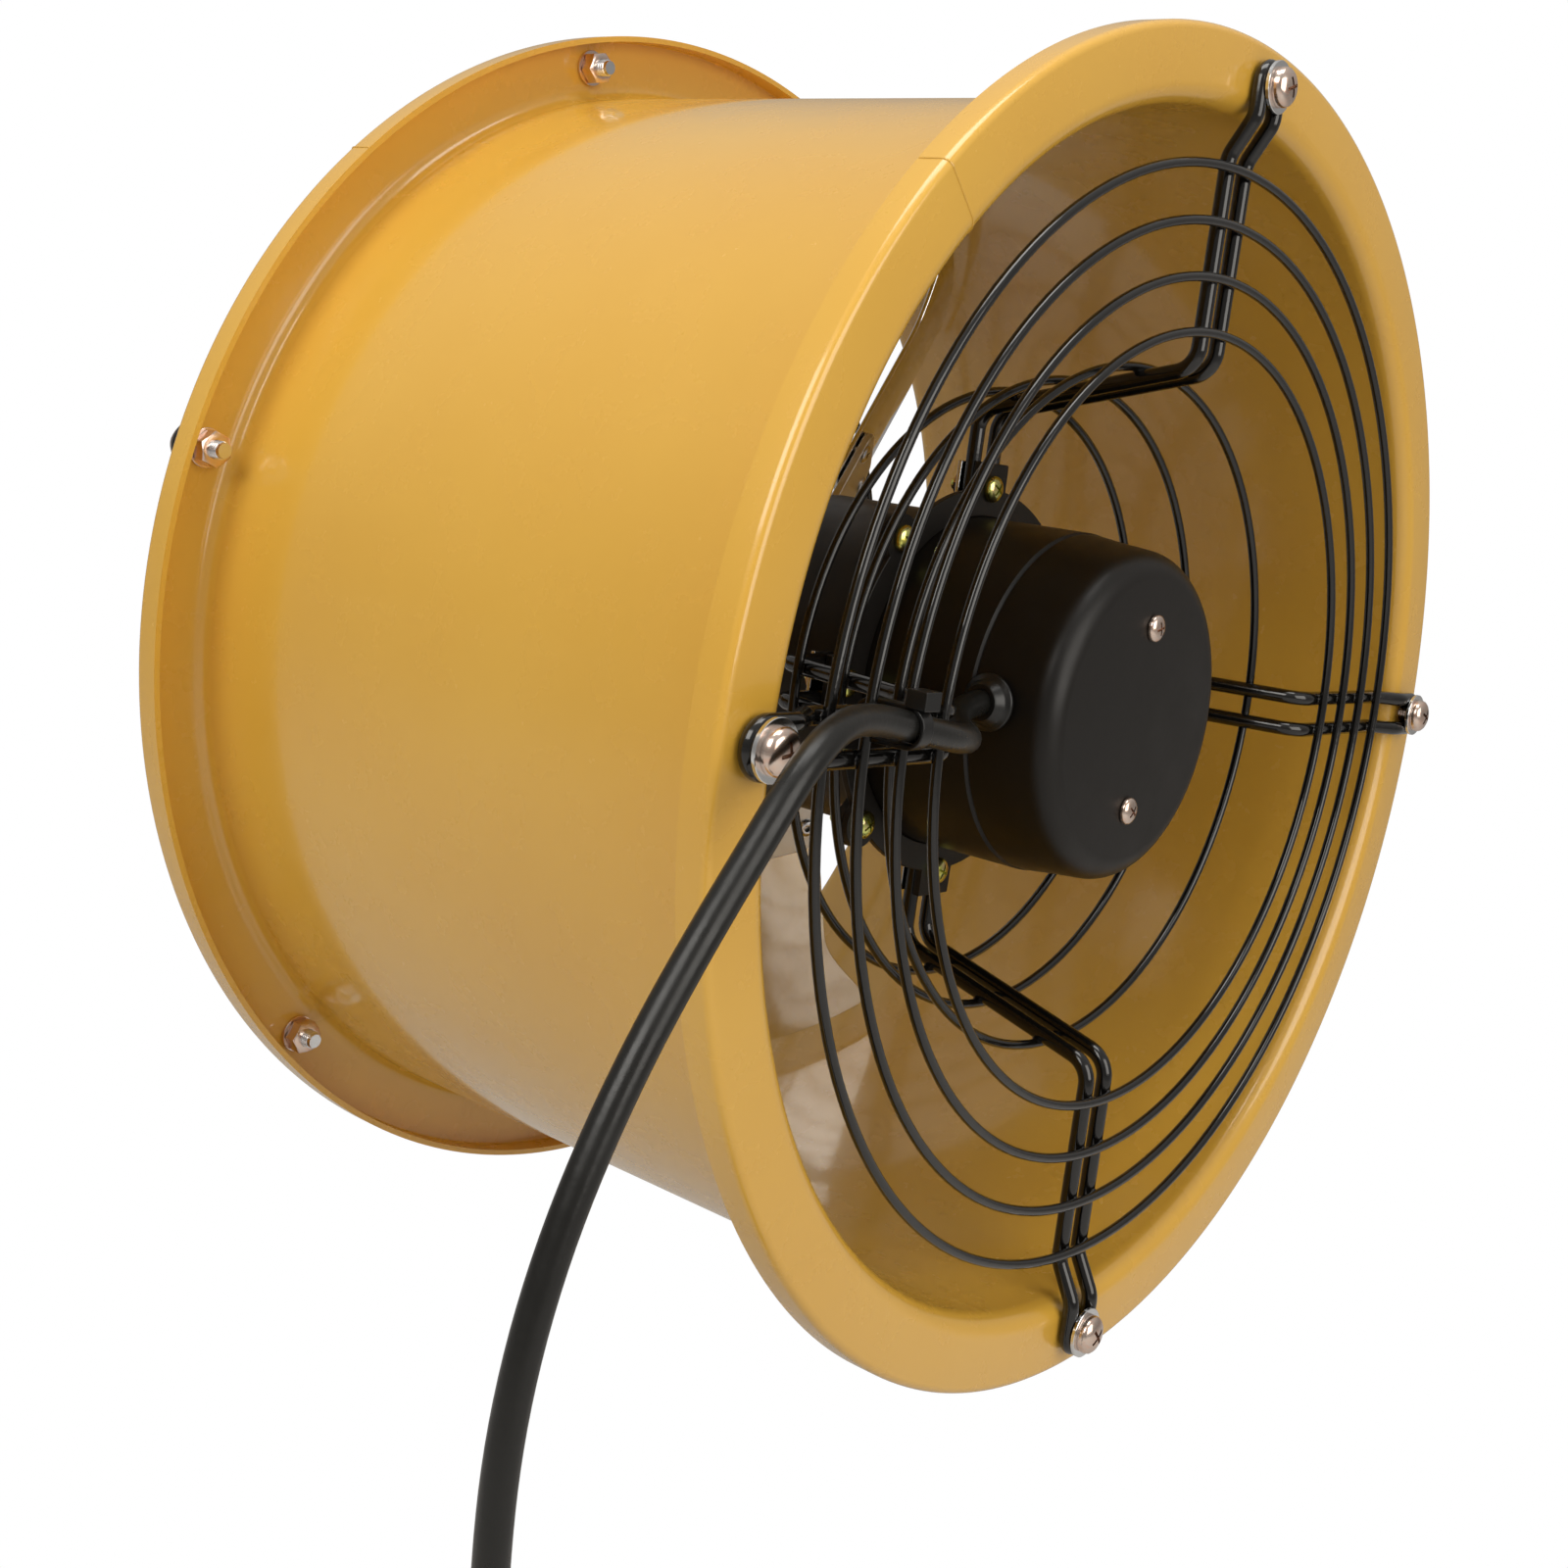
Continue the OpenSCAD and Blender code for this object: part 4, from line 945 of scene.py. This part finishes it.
spider = hub.make("impeller_spider", cast, body="impeller", bevel=0.4, slot="cast_aluminium")
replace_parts(spider, "impeller_hub")
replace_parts(rivets.make("impeller_rivets", steel, body="impeller", slot="machined_steel"), "blade_rivets")
shaft_nut = Shape().add(nut(17, 8, 5.02), axis_y(HUB_Y - 21.5))
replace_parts(shaft_nut.make("impeller_nut", zinc, body="impeller", slot="bright_zinc"), "hub_nut")

# ---------------------------------------------------------------- world and lights
def white_to_camera(t, lit, socket, glow, glow_socket, out):
    """Shows plain white to the camera, and lights the object with another shader."""
    mix = t.nodes.new("ShaderNodeMixShader")
    link(t, t.nodes.new("ShaderNodeLightPath"), "Is Camera Ray", mix, 0)
    link(t, lit, socket, mix, 1)
    link(t, glow, glow_socket, mix, 2)
    link(t, mix, "Shader", out, "Surface")


# Studio: light from above and from a pale floor, a darker band between them
world = bpy.data.worlds.new("studio")
scene.world = world
world.use_nodes = True
t = world.node_tree
t.nodes.clear()
direction = t.nodes.new("ShaderNodeSeparateXYZ")
link(t, t.nodes.new("ShaderNodeTexCoord"), "Generated", direction, "Vector")
height = t.nodes.new("ShaderNodeMapRange")
height.inputs["From Min"].default_value = -1
height.inputs["From Max"].default_value = 1
link(t, direction, "Z", height, "Value")
soft = t.nodes.new("ShaderNodeBackground")
soft.inputs["Strength"].default_value = 0.72
bands = [(0.0, (0.50, 0.47, 0.44)), (0.42, (0.60, 0.57, 0.54)), (0.50, (0.34, 0.32, 0.30)),
         (0.62, (0.42, 0.40, 0.38)), (1.0, (0.85, 0.83, 0.80))]
link(t, ramp(t, height, bands, output="Result"), "Color", soft, "Color")
white = t.nodes.new("ShaderNodeBackground")
white.inputs["Color"].default_value = (1, 1, 1, 1)
white_to_camera(t, soft, "Background", white, "Background", t.nodes.new("ShaderNodeOutputWorld"))


def area(name, place, aim, size, power, colour):
    """Soft box at a place, in metres, pointing at aim."""
    lamp = bpy.data.lights.new(name, "AREA")
    lamp.shape = "RECTANGLE"
    lamp.size, lamp.size_y = size
    lamp.energy = power
    lamp.color = colour
    o = bpy.data.objects.new(name, lamp)
    scene.collection.objects.link(o)
    o.location = place
    o.rotation_euler = (Vector(aim) - Vector(place)).to_track_quat("-Z", "Y").to_euler()


area("key", (1.15, 0.15, 0.75), (0.05, 0.08, 0.0), (0.9, 0.6), 8.5, (1.0, 0.97, 0.92))
area("top", (0.2, 0.2, 1.3), (0, 0.08, 0), (1.0, 0.5), 7, (1.0, 0.98, 0.95))
area("inlet_fill", (0.1, 1.2, 0.35), (0, 0.15, 0), (0.8, 0.8), 6, (1.0, 0.96, 0.90))

# Pale floor, in metres, just below the plug, the lowest point of the cord
floor_z, half = cad_lo[2] - 0.001, 4
floor_mesh = bpy.data.meshes.new("floor")
floor_mesh.from_pydata([(-half, -half, floor_z), (half, -half, floor_z), (half, half, floor_z),
                        (-half, half, floor_z)], [], [[0, 1, 2, 3]])
floor = bpy.data.objects.new("floor", floor_mesh)
scene.collection.objects.link(floor)
floor_mat, t, b = nodes_of("floor_white")
b.inputs["Base Color"].default_value = (0.55, 0.54, 0.53, 1)
b.inputs["Roughness"].default_value = 0.8
white_to_camera(t, b, "BSDF", t.nodes.new("ShaderNodeEmission"), "Emission", t.nodes["Material Output"])
floor_mesh.materials.append(floor_mat)

scene.view_settings.view_transform = "Standard"
scene.view_settings.look = "None"
scene.view_settings.exposure = 0.0
scene.view_settings.gamma = 1.0
